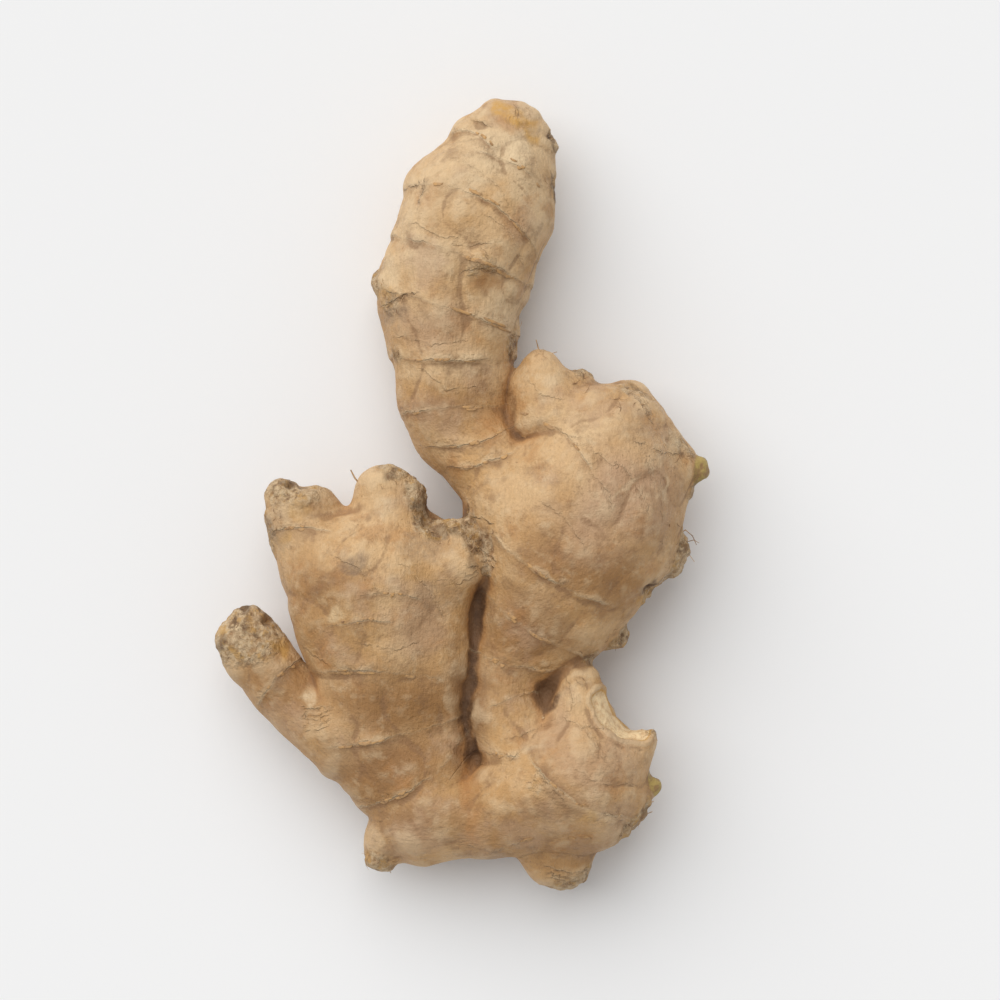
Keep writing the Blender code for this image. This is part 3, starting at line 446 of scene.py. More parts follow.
def sections(stations):
    """Sections every BEAD_STEP along a smooth curve through a limb's stations."""
    rows = np.array(stations, dtype=float) * SIZE
    if len(rows) == 1:
        return rows
    before = 2 * rows[0] - rows[1]
    after = 2 * rows[-1] - rows[-2]
    rows = np.vstack([before, rows, after])
    samples = []
    for p0, p1, p2, p3 in zip(rows, rows[1:], rows[2:], rows[3:]):
        count = max(2, round(np.linalg.norm(p2[:3] - p1[:3]) / BEAD_STEP))
        for t in np.arange(count) / count:
            line = 2 * p1 + (p2 - p0) * t
            curve = (2 * p0 - 5 * p1 + 4 * p2 - p3) * t ** 2 + (3 * p1 - p0 - 3 * p2 + p3) * t ** 3
            samples.append((line + curve) / 2)
    samples.append(rows[-2])
    return np.array(samples)


def beads(limb):
    """A limb as overlapping ellipsoids: centre, radii, and axes across, up and along as columns."""
    rows = sections(limb.stations)
    if len(rows) == 1:
        directions = [np.array([0.0, 1.0, 0.0])]
    else:
        directions = np.gradient(rows[:, :3], axis=0)
    result = []
    for row, along in zip(rows, directions):
        along = along / np.linalg.norm(along)
        across = np.cross(along, (0.0, 0.0, 1.0))
        across /= np.linalg.norm(across)
        up = np.cross(across, along)
        radii = np.array([row[3], row[4], limb.tip * SIZE])
        result.append((row[:3], radii, np.column_stack([across, up, along])))
    return result


def limb_distance(points, chain):
    """How far each point lies outside a limb, or less than zero inside it, and FAR away from it."""
    distance = np.full(len(points), FAR)
    low = np.min([centre - radii.max() for centre, radii, _axes in chain], axis=0) - NEAR
    high = np.max([centre + radii.max() for centre, radii, _axes in chain], axis=0) + NEAR
    near = np.flatnonzero(np.all((points > low) & (points < high), axis=1))
    close_points = points[near]
    nearest = np.full(len(near), FAR)
    for centre, radii, axes in chain:
        local = (close_points - centre) @ axes
        scaled = np.linalg.norm(local / radii, axis=1)
        slope = np.linalg.norm(local / radii ** 2, axis=1) + 1e-9
        np.minimum(nearest, scaled * (scaled - 1) / slope, out=nearest)
    distance[near] = nearest
    return distance


def blend(first, second, reach):
    """The lesser of two distances, with the corner between them filled within reach."""
    if np.all(reach == 0):
        return np.minimum(first, second)
    overlap = np.maximum(reach - np.abs(first - second), 0) / reach
    return np.minimum(first, second) - overlap ** 3 * reach / 6


def form_distance(points, chains):
    """Distance to the whole root, and to each limb."""
    each = {limb.name: limb_distance(points, chains[limb.name]) for limb in LIMBS}
    groups = {}
    for limb in LIMBS:
        if limb.group in groups:
            groups[limb.group] = blend(groups[limb.group], each[limb.name], limb.reach * SIZE)
        else:
            groups[limb.group] = each[limb.name]
    for group in ("heel", "hand"):
        groups[group] = blend(groups[group], each["base"], BASE_REACH)
    whole = groups["arm"]
    weld = CREASE_REACH + (WELD_REACH - CREASE_REACH) * spot_weight(points, WELD)
    whole = blend(whole, groups["heel"], weld)
    whole = blend(whole, groups["hand"], CREASE_REACH)
    return whole, each


def make_blank(chains):
    """A closed mesh close to the form: balls along every limb, joined by a voxel remesh."""
    shape = bmesh.new()
    for chain in chains.values():
        for centre, radii, axes in chain[::BLANK_STEP] + [chain[-1]]:
            turn = Matrix(axes.tolist()).to_4x4()
            place = Matrix.Translation(Vector(centre)) @ turn @ Matrix.Diagonal((*radii, 1))
            bmesh.ops.create_icosphere(shape, subdivisions=3, radius=1, matrix=place)
    blank = new_object("rhizome", shape)
    remesh = blank.modifiers.new("Join", "REMESH")
    remesh.mode = "VOXEL"
    remesh.voxel_size = VOXEL
    apply_modifiers(blank)
    return blank


# Mesh helpers


def in_scene(name, data):
    """A new object in the scene."""
    made = bpy.data.objects.new(name, data)
    bpy.context.scene.collection.objects.link(made)
    return made


def new_object(name, shape):
    """An object in the scene made from a bmesh, which is then freed."""
    mesh = bpy.data.meshes.new(name)
    shape.to_mesh(mesh)
    shape.free()
    return in_scene(name, mesh)


def evaluated_mesh(piece):
    """A new mesh of an object as its modifiers or its bevel leave it."""
    bpy.context.view_layer.update()
    evaluated = piece.evaluated_get(bpy.context.evaluated_depsgraph_get())
    return bpy.data.meshes.new_from_object(evaluated)


def apply_modifiers(piece):
    """Swap an object's mesh for the mesh its modifiers make."""
    made = evaluated_mesh(piece)
    old = piece.data
    piece.modifiers.clear()
    piece.data = made
    bpy.data.meshes.remove(old)


def read_points(mesh):
    points = np.empty(len(mesh.vertices) * 3)
    mesh.vertices.foreach_get("co", points)
    return points.reshape(-1, 3)


def read_normals(mesh):
    normals = np.empty(len(mesh.vertices) * 3)
    mesh.vertex_normals.foreach_get("vector", normals)
    return normals.reshape(-1, 3)


def write_points(mesh, points):
    mesh.vertices.foreach_set("co", points.ravel())
    mesh.update()


def store(mesh, name, values):
    """Keep a number or a colour for each vertex, for the materials to read."""
    if values.ndim == 1:
        attribute = mesh.attributes.new(name, "FLOAT", "POINT")
        attribute.data.foreach_set("value", values.astype(np.float32))
    else:
        attribute = mesh.attributes.new(name, "FLOAT_COLOR", "POINT")
        attribute.data.foreach_set("color", values.astype(np.float32).ravel())


def settle(mesh, chains, rounds):
    """Draw the skin onto the form."""
    for _ in range(rounds):
        points = read_points(mesh)
        distance, _limbs = form_distance(points, chains)
        write_points(mesh, points - read_normals(mesh) * distance[:, None])


def averaged(mesh, rounds):
    """The vertices' places, each averaged with its neighbours' over and over."""
    ends = np.empty(len(mesh.edges) * 2, dtype=np.int32)
    mesh.edges.foreach_get("vertices", ends)
    first, second = ends.reshape(-1, 2).T
    total = len(mesh.vertices)
    share = 1 / (1 + np.bincount(ends, minlength=total))
    places = read_points(mesh).T
    for _ in range(rounds):
        around = [np.bincount(first, values[second], total) + np.bincount(second, values[first], total)
                  for values in places]
        places = (places + around) * share
    return places.T


def smooth(mesh, rounds):
    write_points(mesh, averaged(mesh, rounds))


def split_rough_faces(mesh):
    """Halve the edges of the skin where it is corky, so that it can carry finer relief."""
    rough = roughness(read_points(mesh)) > SPLIT_FROM
    shape = bmesh.new()
    shape.from_mesh(mesh)
    edges = [edge for edge in shape.edges if all(rough[vertex.index] for vertex in edge.verts)]
    bmesh.ops.subdivide_edges(shape, edges=edges, cuts=1, use_grid_fill=True)
    shape.to_mesh(mesh)
    shape.free()


def hollowness(mesh, rounds):
    """How far each vertex lies below the average of the skin around it."""
    below = averaged(mesh, rounds) - read_points(mesh)
    return np.einsum("ij,ij->i", below, read_normals(mesh))


# Relief


def wave(points, size, seed):
    """Smooth noise between -1 and 1 whose features are about size across."""
    shift = Vector((seed * 7.1, seed * 3.3, seed * 5.7))
    return np.array([noise.noise(Vector(point) / size + shift) for point in points])


def fade(values, start, end):
    """1 below start, 0 above end, smooth in between."""
    t = np.clip((end - values) / (end - start), 0, 1)
    return t * t * (3 - 2 * t)


def ring_shape(ring):
    """A ring's left end, its chord, the direction towards the limb's tip, and how far its arch bows."""
    left, middle, right = (np.array(point) * SIZE for point in (ring.left, ring.middle, ring.right))
    chord = right - left
    length = np.linalg.norm(chord)
    towards_tip = np.array([-chord[1], chord[0]]) / length
    half = (middle - left) @ chord / length ** 2
    bow = (middle - left) @ towards_tip / (4 * half * (1 - half))
    return left, chord, towards_tip, bow


def ring_offset(points, ring):
    """How far each point lies past a ring towards the limb's tip, and its place along the ring."""
    left, chord, towards_tip, bow = ring_shape(ring)
    place = (points[:, :2] - left) @ chord / (chord @ chord)
    on_line = np.clip(place, -RING_OVERRUN, 1 + RING_OVERRUN)
    arch = 4 * bow * on_line * (1 - on_line)
    return (points[:, :2] - left) @ towards_tip - arch, place


def ripple(points, relief):
    """Smooth noise with a relief's height, size and seed."""
    height, size, seed = relief
    return wave(points, size, seed) * height


def ridges(points, relief):
    """The same noise folded over at its middle, so that it has sharp valleys."""
    return 2 * np.abs(ripple(points, relief)) - relief[0] / 2


def patchy(points, patches):
    """Soft patches of 1, and what is left between them."""
    size, seed, least, start, end = patches
    return least + (1 - least) * fade(-wave(points, size, seed), start, end)


def ring_marks(points, whole, each):
    """Height of the leaf scars, the distance to the nearest one and its mask, and their mottled bands of
    painted shade below the lips.
    """
    height, lip_shade_band, mask = np.zeros((3, len(points)))
    nearest = np.full(len(points), FAR)
    ragged = ripple(points, RING_RAGGED) + ripple(points, RING_TORN)
    showing = patchy(points, RING_PATCHES)
    for ring in RINGS:
        offset, place = ring_offset(points, ring)
        offset = offset + ragged
        own = fade(each[ring.limb] - whole, *RING_FADE) * fade(np.abs(place - 0.5), *RING_ENDS) * showing
        width = np.where(offset > 0, RING_TIP_SIDE, RING_OLD_SIDE)
        lip = np.exp(-(offset / width) ** 2)
        groove = np.exp(-((offset + RING_GROOVE) / RING_GROOVE) ** 2)
        height += own * ring.lift * RING_LIFT * MM * (lip - GROOVE_DEPTH * groove)
        behind = np.clip(-offset / BAND_WIDTH, 0, 1)
        lip_shade_band = np.maximum(lip_shade_band, own * np.where(offset < 0, (1 - behind) ** BAND_FALL, 0))
        closer = (own > RING_FAINT) & (np.abs(offset) < np.abs(nearest))
        nearest[closer] = offset[closer]
        mask[closer] = (own * fade(np.abs(offset), *RING_REACH))[closer]
    return height, nearest / MM, mask, lip_shade_band


def spot_weight(points, spot):
    """1 at the middle of a round spot on the skin, falling to 0 at its edge."""
    centre = np.array([spot.x, spot.y, spot.z]) * SIZE
    radius = spot.radius * SIZE
    return fade(np.linalg.norm(points - centre, axis=1), SPOT_CORE * radius, radius)


def roughness(points):
    """How corky each point is, from 0 to 1, with ragged edges to the rough spots."""
    strayed = points + ripple(points, ROUGH_RAGGED)[:, None]
    return np.max([spot_weight(strayed, spot) * spot.amount for spot in ROUGH_SPOTS], axis=0)


def line_gap(points, line):
    """Distance of each point from a line of points in millimetres, seen from above."""
    line = np.array(line) * SIZE
    gap = np.full(len(points), FAR)
    for start, end in zip(line, line[1:]):
        run = end - start
        t = np.clip((points[:, :2] - start) @ run / (run @ run), 0, 1)
        gap = np.minimum(gap, np.linalg.norm(points[:, :2] - start - t[:, None] * run, axis=1))
    return gap


def wrinkle_marks(points, normals):
    """Distance to the nearest wrinkle, less than zero on its right, and how strongly it shows."""
    nearest = np.full(len(points), FAR)
    mask = np.zeros(len(points))
    upper = fade(-normals[:, 2], *WRINKLE_SIDES)
    for depth, *line in WRINKLES:
        line = np.array(line) * SIZE
        for start, end in zip(line, line[1:]):
            run = end - start
            length = np.linalg.norm(run)
            x, y = (points[:, :2] - start).T
            along = (x * run[0] + y * run[1]) / length
            side = (y * run[0] - x * run[1]) / length
            past = np.maximum(np.maximum(-along, along - length), 0)
            gap = np.hypot(side, past)
            closer = (gap < np.abs(nearest)) & (past < WRINKLE_ENDS)
            nearest[closer] = np.where(side < 0, -gap, gap)[closer]
            strength = depth * fade(past, 0, WRINKLE_ENDS) * fade(np.abs(side), *WRINKLE_NEAR) * upper
            mask[closer] = strength[closer]
    return nearest / MM, mask


def scar_marks(points):
    """The dished scar in the heel's notch, and the lip around it."""
    gap = line_gap(points, SCAR_LINE) + ripple(points, SCAR_RAGGED)
    above = 1 - fade(points[:, 2], *SCAR_FLOOR)
    away, width = SCAR_LIP_PLACE
    return fade(gap, *SCAR_WIDTH) * above, np.exp(-((gap - away) / width) ** 2) * above


def pit_marks(points, normals):
    """How deep the pits are at each point of the upper side, and how much painted shade they get."""
    depth, dark = np.zeros((2, len(points)))
    for pit in PITS:
        gap = np.linalg.norm(points[:, :2] - np.array([pit.x, pit.y]) * SIZE, axis=1)
        weight = fade(gap, PIT_FLOOR * pit.radius * MM, pit.radius * MM) * (normals[:, 2] > 0)
        depth += weight * pit.depth * MM
        dark = np.maximum(dark, weight * pit.shade)
    return depth, dark


def grain(points, each, chains):
    """The limbs' direction at each point, as the cosine and sine of twice its angle from +X."""
    total = np.zeros((len(points), 2))
    for name, chain in chains.items():
        near = np.flatnonzero(each[name] < GRAIN_REACH)
        centres = np.array([centre for centre, _radii, _axes in chain])
        along = np.array([axes[:, 2] for _centre, _radii, axes in chain])
        gaps = np.linalg.norm(points[near, None, :2] - centres[None, :, :2], axis=2)
        along = along[gaps.argmin(axis=1)]
        angle = 2 * np.arctan2(along[:, 1], along[:, 0])
        weight = np.exp(-each[name][near] / MM)
        total[near] += weight[:, None] * np.column_stack([np.cos(angle), np.sin(angle)])
    return total / (np.linalg.norm(total, axis=1, keepdims=True) + 1e-9)


def fold_relief(points, directions):
    """Fine wrinkles across the limbs: noise stretched square to their direction."""
    depth, size, seed = FOLDS
    angle = np.arctan2(directions[:, 1], directions[:, 0]) / 2
    height = np.zeros(len(points))
    for turn in (0, 45, 90, 135):
        share = np.maximum(np.cos(2 * (angle - math.radians(turn))), 0) ** 2
        chosen = np.flatnonzero(share > 0.01)
        c, s = math.cos(math.radians(turn)), math.sin(math.radians(turn))
        x, y, z = points[chosen].T
        stretched = np.column_stack([x * c + y * s, (y * c - x * s) * FOLD_STRETCH, z * FOLD_STRETCH])
        height[chosen] += share[chosen] * wave(stretched, size, seed + turn)
    return height * depth * patchy(points, FOLD_PATCHES)


def patch_colours(points, colour_patches, ragged, edge):
    """Colour of the stains, tones and patches of painted light and shade over each point, with how
    strongly it shows.
    """
    colour = np.tile(np.array(TAN), (len(points), 1))
    strength = np.zeros(len(points))
    places = points[:, :2] + np.column_stack([ripple(points, (*ragged, seed)) for seed in STRAY_SEEDS])
    for stain_and_shade in colour_patches:
        c, s = math.cos(math.radians(stain_and_shade.turn)), math.sin(math.radians(stain_and_shade.turn))
        x, y = (places - np.array([stain_and_shade.x, stain_and_shade.y]) * SIZE).T
        reach = np.hypot((x * c + y * s) / stain_and_shade.length, (y * c - x * s) / stain_and_shade.width) / SIZE
        weight = fade(reach, *edge) * stain_and_shade.strength
        colour += (np.array(stain_and_shade.colour) - colour) * (weight / (weight + strength + 1e-6))[:, None]
        strength = np.maximum(strength, weight)
    return np.column_stack([colour, strength])


def crumbled(points, cork):
    """Relief of crumbled cork, where there is any."""
    rough = np.flatnonzero(cork > 0)
    crumb = np.zeros(len(points))
    places = points[rough]
    crumb[rough] = ripple(places, CORK) + ridges(places, CORK_RIDGES) + ripple(places, CORK_GRAINS)
    return crumb


def dress_skin(mesh, chains):
    """Give the smooth form its relief, and keep the masks that the material reads."""
    points = read_points(mesh)
    normals = read_normals(mesh)
    whole, each = form_distance(points, chains)
    ring_height, ring_gap, ring_mask, lip_shade_band = ring_marks(points, whole, each)
    wrinkle_gap, wrinkle_mask = wrinkle_marks(points, normals)
    scar, scar_lip = scar_marks(points)
    pits, pit_shade = pit_marks(points, normals)
    cork = roughness(points)
    crumb = crumbled(points, cork)
    directions = grain(points, each, chains)

    height = sum(ripple(points, relief) for relief in (SWELL, DENTS, LUMPS, GRIT))
    height += ridges(points, FACETS) + fold_relief(points, directions) + ring_height
    height += cork * crumb + scar_lip * SCAR_LIP - scar * SCAR_DEPTH - pits
    write_points(mesh, points + normals * height[:, None])

    # Among the kept masks: painted shade below the scars' lips and in the pits, broad tones that are
    # partly painted light and shade, and stains with painted shade down the creases
    kept = {
        "ring_gap": ring_gap, "ring_mask": ring_mask, "lip_shade_band": lip_shade_band,
        "cork": cork, "crumb": crumb / CORK[0], "scar": scar, "pit_shade": pit_shade,
        "wrinkle_gap": wrinkle_gap, "wrinkle_mask": wrinkle_mask,
        "bud": np.max([spot_weight(points, spot) for spot in BUDS], axis=0),
        "tone_light_and_shade": patch_colours(points, TONES_WITH_LIGHT_AND_SHADE, TONE_AND_SHADE_RAGGED, TONE_AND_SHADE_EDGE),
        "stain_and_shade": patch_colours(points, STAINS_AND_CREASE_SHADE, STAIN_AND_SHADE_RAGGED, STAIN_AND_SHADE_EDGE),
        "grain": np.column_stack([directions, np.zeros((len(points), 2))]),
        "valley": hollowness(mesh, VALLEY_ROUNDS) / MM,
        "nook": hollowness(mesh, NOOK_ROUNDS) / MM,
    }
    for name, values in kept.items():
        store(mesh, name, values)


def cut_resting_spots(mesh):
    """Cut the root flat at z = 0, where its lowest bumps touch the surface."""
    shape = bmesh.new()
    shape.from_mesh(mesh)
    everything = shape.verts[:] + shape.edges[:] + shape.faces[:]
    bmesh.ops.bisect_plane(shape, geom=everything, plane_co=(0, 0, 0), plane_no=(0, 0, 1),
                           clear_inner=True)
    rims = [edge for edge in shape.edges if edge.is_boundary]
    bmesh.ops.holes_fill(shape, edges=rims)
    bmesh.ops.recalc_face_normals(shape, faces=shape.faces)
    shape.to_mesh(mesh)
    shape.free()


# Materials


class Paint:
    """A node material under construction, with short calls for its nodes. Sizes are in millimetres."""

    def __init__(self, name):
        self.material = bpy.data.materials.new(name)
        self.material.use_nodes = True
        self.tree = self.material.node_tree
        self.shader = self.tree.nodes["Principled BSDF"]
        self.place = self.add("ShaderNodeTexCoord").outputs["Object"]

    def fill(self, node, inputs):
        """Set a node's inputs, or link them from other nodes' sockets."""
        for name, value in inputs.items():
            if isinstance(value, bpy.types.NodeSocket):
                self.tree.links.new(value, node.inputs[name])
            else:
                node.inputs[name].default_value = value

    def add(self, kind, inputs=None, **settings):
        """A new node with its settings and inputs."""
        made = self.tree.nodes.new(kind)
        for name, value in settings.items():
            setattr(made, name, value)
        self.fill(made, inputs or {})
        return made

    def mask(self, name):
        """A number kept on each vertex."""
        return self.add("ShaderNodeAttribute", attribute_name=name).outputs["Fac"]

    def kept_colour(self, name):
        """A colour kept on each vertex, and its strength."""
        kept = self.add("ShaderNodeAttribute", attribute_name=name)
        return kept.outputs["Color"], kept.outputs["Alpha"]

    def moved(self, scale=(1, 1, 1), turn=0, shift=0):
        """Coordinates turned about Z, shifted and stretched."""
        where = self.add("ShaderNodeMapping", {
            "Vector": self.place, "Location": (shift, shift, shift), "Scale": scale,
            "Rotation": (0, 0, math.radians(turn))}, vector_type="TEXTURE")
        return where.outputs["Vector"]

    def noise(self, size, detail, rough, shift=0, where=None):
        """Noise between 0 and 1 whose features are about size across."""
        if where is None:
            where = self.moved(shift=shift) if shift else self.place
        made = self.add("ShaderNodeTexNoise", {
            "Vector": where, "Scale": 1 / (size * MM), "Detail": detail, "Roughness": rough})
        return made.outputs["Fac"]

    def stray(self, size, detail, rough, shift, amount):
        """Noise around 0."""
        return self.times(self.math("SUBTRACT", self.noise(size, detail, rough, shift), 0.5), amount)

    def step(self, value, low, high, to_low=0.0, to_high=1.0):
        """value eased from to_low at low to to_high at high."""
        made = self.add("ShaderNodeMapRange", {
            "Value": value, "From Min": low, "From Max": high, "To Min": to_low, "To Max": to_high},
            interpolation_type="SMOOTHSTEP")
        return made.outputs["Result"]

    def cloud(self, size, detail, rough, shift, low, high, most=1.0, least=0.0):
        """Patches of noise: least where it is below low, most where it is above high."""
        return self.step(self.noise(size, detail, rough, shift), low, high, least, most)

    def line(self, value, middle, wide, narrow):
        """1 where value is within narrow of middle, and 0 where it is farther away than wide."""
        gap = self.math("ABSOLUTE", self.math("SUBTRACT", value, middle), 0.0)
        return self.step(gap, wide, narrow)

    def math(self, kind, total, *values):
        """Arithmetic on numbers, from left to right."""
        for value in values:
            total = self.add("ShaderNodeMath", {0: total, 1: value}, operation=kind).outputs[0]
        return total

    def times(self, *values):
        return self.math("MULTIPLY", *values)

    def plus(self, *values):
        return self.math("ADD", *values)

    def mix(self, under, over, *shares, kind="MIX"):
        """under with over on it, as strongly as the shares make when multiplied."""
        made = self.add("ShaderNodeMix", {0: self.times(*shares), 6: solid(under), 7: solid(over)},
                        data_type="RGBA", blend_type=kind)
        return made.outputs[2]

    def finish(self, colour, roughness, specular):
        """The material, with the shader's main inputs set."""
        self.fill(self.shader, {
            "Base Color": solid(colour), "Roughness": roughness, "Specular IOR Level": specular})
        return self.material


def solid(colour):
    """A colour tuple with full alpha, or a socket as it is."""
    return (*colour, 1.0) if isinstance(colour, tuple) else colour


def fibre_noise(paint, size, stretch, shift):
    """Noise drawn out along the limbs: four directions, mixed by the grain kept on each vertex."""
    kept, _strength = paint.kept_colour("grain")
    parts = paint.add("ShaderNodeSeparateColor", {"Color": kept}).outputs
    strands = []
    for turn, part, sign in ((0, "Red", 1), (45, "Green", 1), (90, "Red", -1), (135, "Green", -1)):
        share = paint.math("POWER", paint.math("MAXIMUM", paint.times(parts[part], sign), 0.0), 2.0)
        where = paint.moved(scale=(stretch, 1, 1), turn=turn, shift=shift)
        strands.append(paint.times(share, paint.noise(size, 3, 0.6, where=where)))
    return paint.plus(*strands)


def skin_ground(paint, fibres):
    """The skin's colour: its own tones, clouds, fibres and specks, with broad painted light and shade
    among the tones, painted shade in the hollows and a painted highlight on small bumps.
    """
    colour = paint.mix(TAN, STRAW, paint.cloud(11, 6, 0.62, 0, 0.4, 0.6, 0.75))
    # Broad tones, partly painted light on the lit finger top and painted shade on the lower and right
    # flanks and the crease
    colour = paint.mix(colour, *paint.kept_colour("tone_light_and_shade"))
    for tint, *cloud in SKIN_CLOUDS:
        colour = paint.mix(colour, tint, paint.cloud(*cloud))
    shade = paint.step(fibres, 0.3, 0.7, 0.93, 1.06)
    grey = paint.add("ShaderNodeCombineColor", {"Red": shade, "Green": shade, "Blue": shade})
    colour = paint.mix(colour, grey.outputs["Color"], 1.0, kind="MULTIPLY")
    specks = paint.cloud(0.6, 2, 0.5, 1.1, 0.64, 0.74, 0.55)
    colour = paint.mix(colour, UMBER, specks, paint.cloud(9, 3, 0.6, 0, 0.4, 0.6, 1.0, 0.15))
    # Painted shade in the hollows and a painted highlight on small bumps, over orange-brown that the
    # creases partly have
    for name, low, high, strength, tint in HOLLOW_TINT_SHADE_AND_HIGHLIGHT:
        colour = paint.mix(colour, tint, paint.step(paint.mask(name), low, high, 0.0, strength))
    return colour


def draw_rings(paint, colour, wander):
    """The colour with the leaf scars' mottled bands of painted shade, a dark line of painted shadow under
    each lip and a pale line on it, and the ledges they make.
    """
    # A mottled band of painted shade below each lip
    colour = paint.mix(colour, UMBER, paint.mask("lip_shade_band"), paint.cloud(2.1, 5, 0.7, 1.7, 0.36, 0.62), 0.62)
    gap = paint.plus(paint.mask("ring_gap"), wander)
    shown = paint.times(paint.mask("ring_mask"), paint.cloud(3.2, 3, 0.6, 2.3, 0.34, 0.55, 1.0, 0.12))
    # A dark line of painted shadow just under the lip, then the scar's pale line
    colour = paint.mix(colour, UMBER, paint.line(gap, -0.38, 0.3, 0.08), shown, 0.45)
    colour = paint.mix(colour, PALE, paint.line(gap, 0.0, 0.32, 0.05), shown, 0.6)
    return colour, paint.times(paint.step(gap, -0.16, 0.12), shown)


def draw_wrinkles(paint, colour):
    """The colour with painted shade in the wrinkles' lines and a painted highlight along one rim, and the
    relief they make.
    """
    gap = paint.plus(paint.mask("wrinkle_gap"), paint.stray(1.7, 4, 0.62, 6.1, 2.2))
    shown = paint.times(paint.mask("wrinkle_mask"), paint.cloud(1.9, 3, 0.6, 6.7, 0.36, 0.56, 1.0, 0.1))
    hollow = paint.line(gap, 0.0, 0.42, 0.02)
    rim = paint.line(gap, 0.42, 0.34, 0.04)
    # Painted shade in each wrinkle's line and a painted highlight along its one rim
    colour = paint.mix(colour, UMBER, hollow, shown, 0.7)
    colour = paint.mix(colour, PALE, rim, shown, 0.5)
    return colour, paint.times(paint.math("SUBTRACT", rim, hollow), shown)


def crumb_colour(paint, shreds):
    """The colour of crumbled cork: shreds, clouds of stain, and painted shade in its low gaps."""
    colour = paint.mix(DRAB, PALE, paint.step(shreds, 0.38, 0.58))
    for tint, *cloud in CORK_CLOUDS:
        colour = paint.mix(colour, tint, paint.cloud(*cloud))
    # Painted shade where the crumbled relief is low
    gaps = paint.plus(paint.mask("crumb"), paint.step(shreds, 0.3, 0.7, -0.4, 0.4))
    return paint.mix(colour, BARK_AND_SHADE, paint.step(gaps, -0.35, -1.1, 0.0, 0.8))


def draw_wounds(paint, colour, wander):
    """The colour with the stains and the painted shade along the creases, the dished scar and the buds on
    it.
    """
    # Stains, with dark lines of painted shade down the creases among them
    stain_and_shade, strength = paint.kept_colour("stain_and_shade")
    colour = paint.mix(colour, stain_and_shade, strength, paint.cloud(1.6, 5, 0.7, 2.9, 0.3, 0.62, 1.0, 0.35))
    torn = paint.plus(paint.mask("scar"), paint.times(wander, 0.25))
    colour = paint.mix(colour, OCHRE, paint.step(torn, 0.02, 0.3, 0.0, 0.8))
    flesh = paint.mix(CREAM, STRAW, paint.cloud(1.2, 4, 0.6, 0, 0.4, 0.65))
    colour = paint.mix(colour, flesh, paint.step(torn, 0.35, 0.7))
    bud = paint.mix(LIME, UMBER, paint.cloud(1.5, 4, 0.6, 0, 0.42, 0.62, 0.75))
    return paint.mix(colour, bud, paint.step(paint.mask("bud"), 0.25, 0.6, 0.0, 0.9))


def skin_material():
    paint = Paint("ginger_skin_fine")
    fibres = fibre_noise(paint, 0.45, 4, 0.1)
    shreds = paint.noise(1.5, 6, 0.75, 3.7)
    wander = paint.stray(1.1, 4, 0.6, 0, 0.9)
    corky = paint.step(paint.plus(paint.mask("cork"), paint.times(wander, 0.9)), 0.12, 0.85)

    colour, ledges = draw_rings(paint, skin_ground(paint, fibres), wander)
    colour, pinches = draw_wrinkles(paint, colour)
    # Painted shade in the pits, broken up by noise
    pit_shade_breakup = paint.cloud(1.3, 3, 0.6, 5.1, 0.35, 0.6, 0.9, 0.15)
    colour = paint.mix(colour, SOIL_AND_PIT_SHADE, paint.mask("pit_shade"), pit_shade_breakup)
    colour = paint.mix(colour, crumb_colour(paint, shreds), corky, 0.85)
    colour = draw_wounds(paint, colour, wander)

    frayed = paint.plus(paint.times(shreds, 2.6), paint.times(fibres, 1.6))
    relief = (
        (fibres, 0.5), (paint.noise(0.8, 5, 0.65), 1.25), (ledges, 1.2), (pinches, 1.6),
        (fibre_noise(paint, 1.5, 2.2, 0.7), 1.2), (corky, frayed),
    )
    height = paint.plus(*(paint.times(*part) for part in relief))
    bump = paint.add("ShaderNodeBump", {"Height": height, "Distance": BUMP_DEPTH, "Strength": 1.0})
    paint.fill(paint.shader, {"Normal": bump.outputs["Normal"]})
    return paint.finish(colour, paint.cloud(5, 4, 0.6, 0, 0.3, 0.7, 0.68, 0.46), 0.35)


def paper_material():
    """Dry papery leaf remains: pale, with browner fibres."""
    paint = Paint("papery_flakes")
    colour = paint.mix(TAN, DRAB, paint.cloud(1.6, 4, 0.65, 0, 0.4, 0.6))
    colour = paint.mix(colour, UMBER, paint.cloud(0.7, 4, 0.7, 0.9, 0.5, 0.68, 0.8))
    return paint.finish(colour, 0.7, 0.3)


def fibre_material():
    """Dry fibres, from pale ochre to dark brown."""
    paint = Paint("dry_fibres")
    colour = paint.mix(STRAW, UMBER, paint.cloud(5, 3, 0.6, 0, 0.42, 0.6))
    colour = paint.mix(colour, GREY, paint.cloud(1.1, 4, 0.7, 0.6, 0.45, 0.65, 0.6))
    return paint.finish(colour, 0.75, 0.3)


def table_material():
    return Paint("pale_table").finish(TABLE_COLOUR, 0.9, 0.1)


# Pieces


def make_rhizome():
    chains = {limb.name: beads(limb) for limb in LIMBS}
    rhizome = make_blank(chains)
    smooth(rhizome.data, BLANK_SMOOTHING)
    settle(rhizome.data, chains, SETTLE_ROUNDS)
    smooth(rhizome.data, POLISH_ROUNDS)
    split_rough_faces(rhizome.data)
    dress_skin(rhizome.data, chains)
    cut_resting_spots(rhizome.data)
    dress(rhizome, skin_material())
    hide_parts(NODE)
    return rhizome


def skin_below(tree, x, y):
    """The highest point of the skin under a place seen from above, and its normal."""
    place, normal, _face, _distance = tree.ray_cast(Vector((x, y, ABOVE)), Vector((0, 0, -1)))
    return place, normal


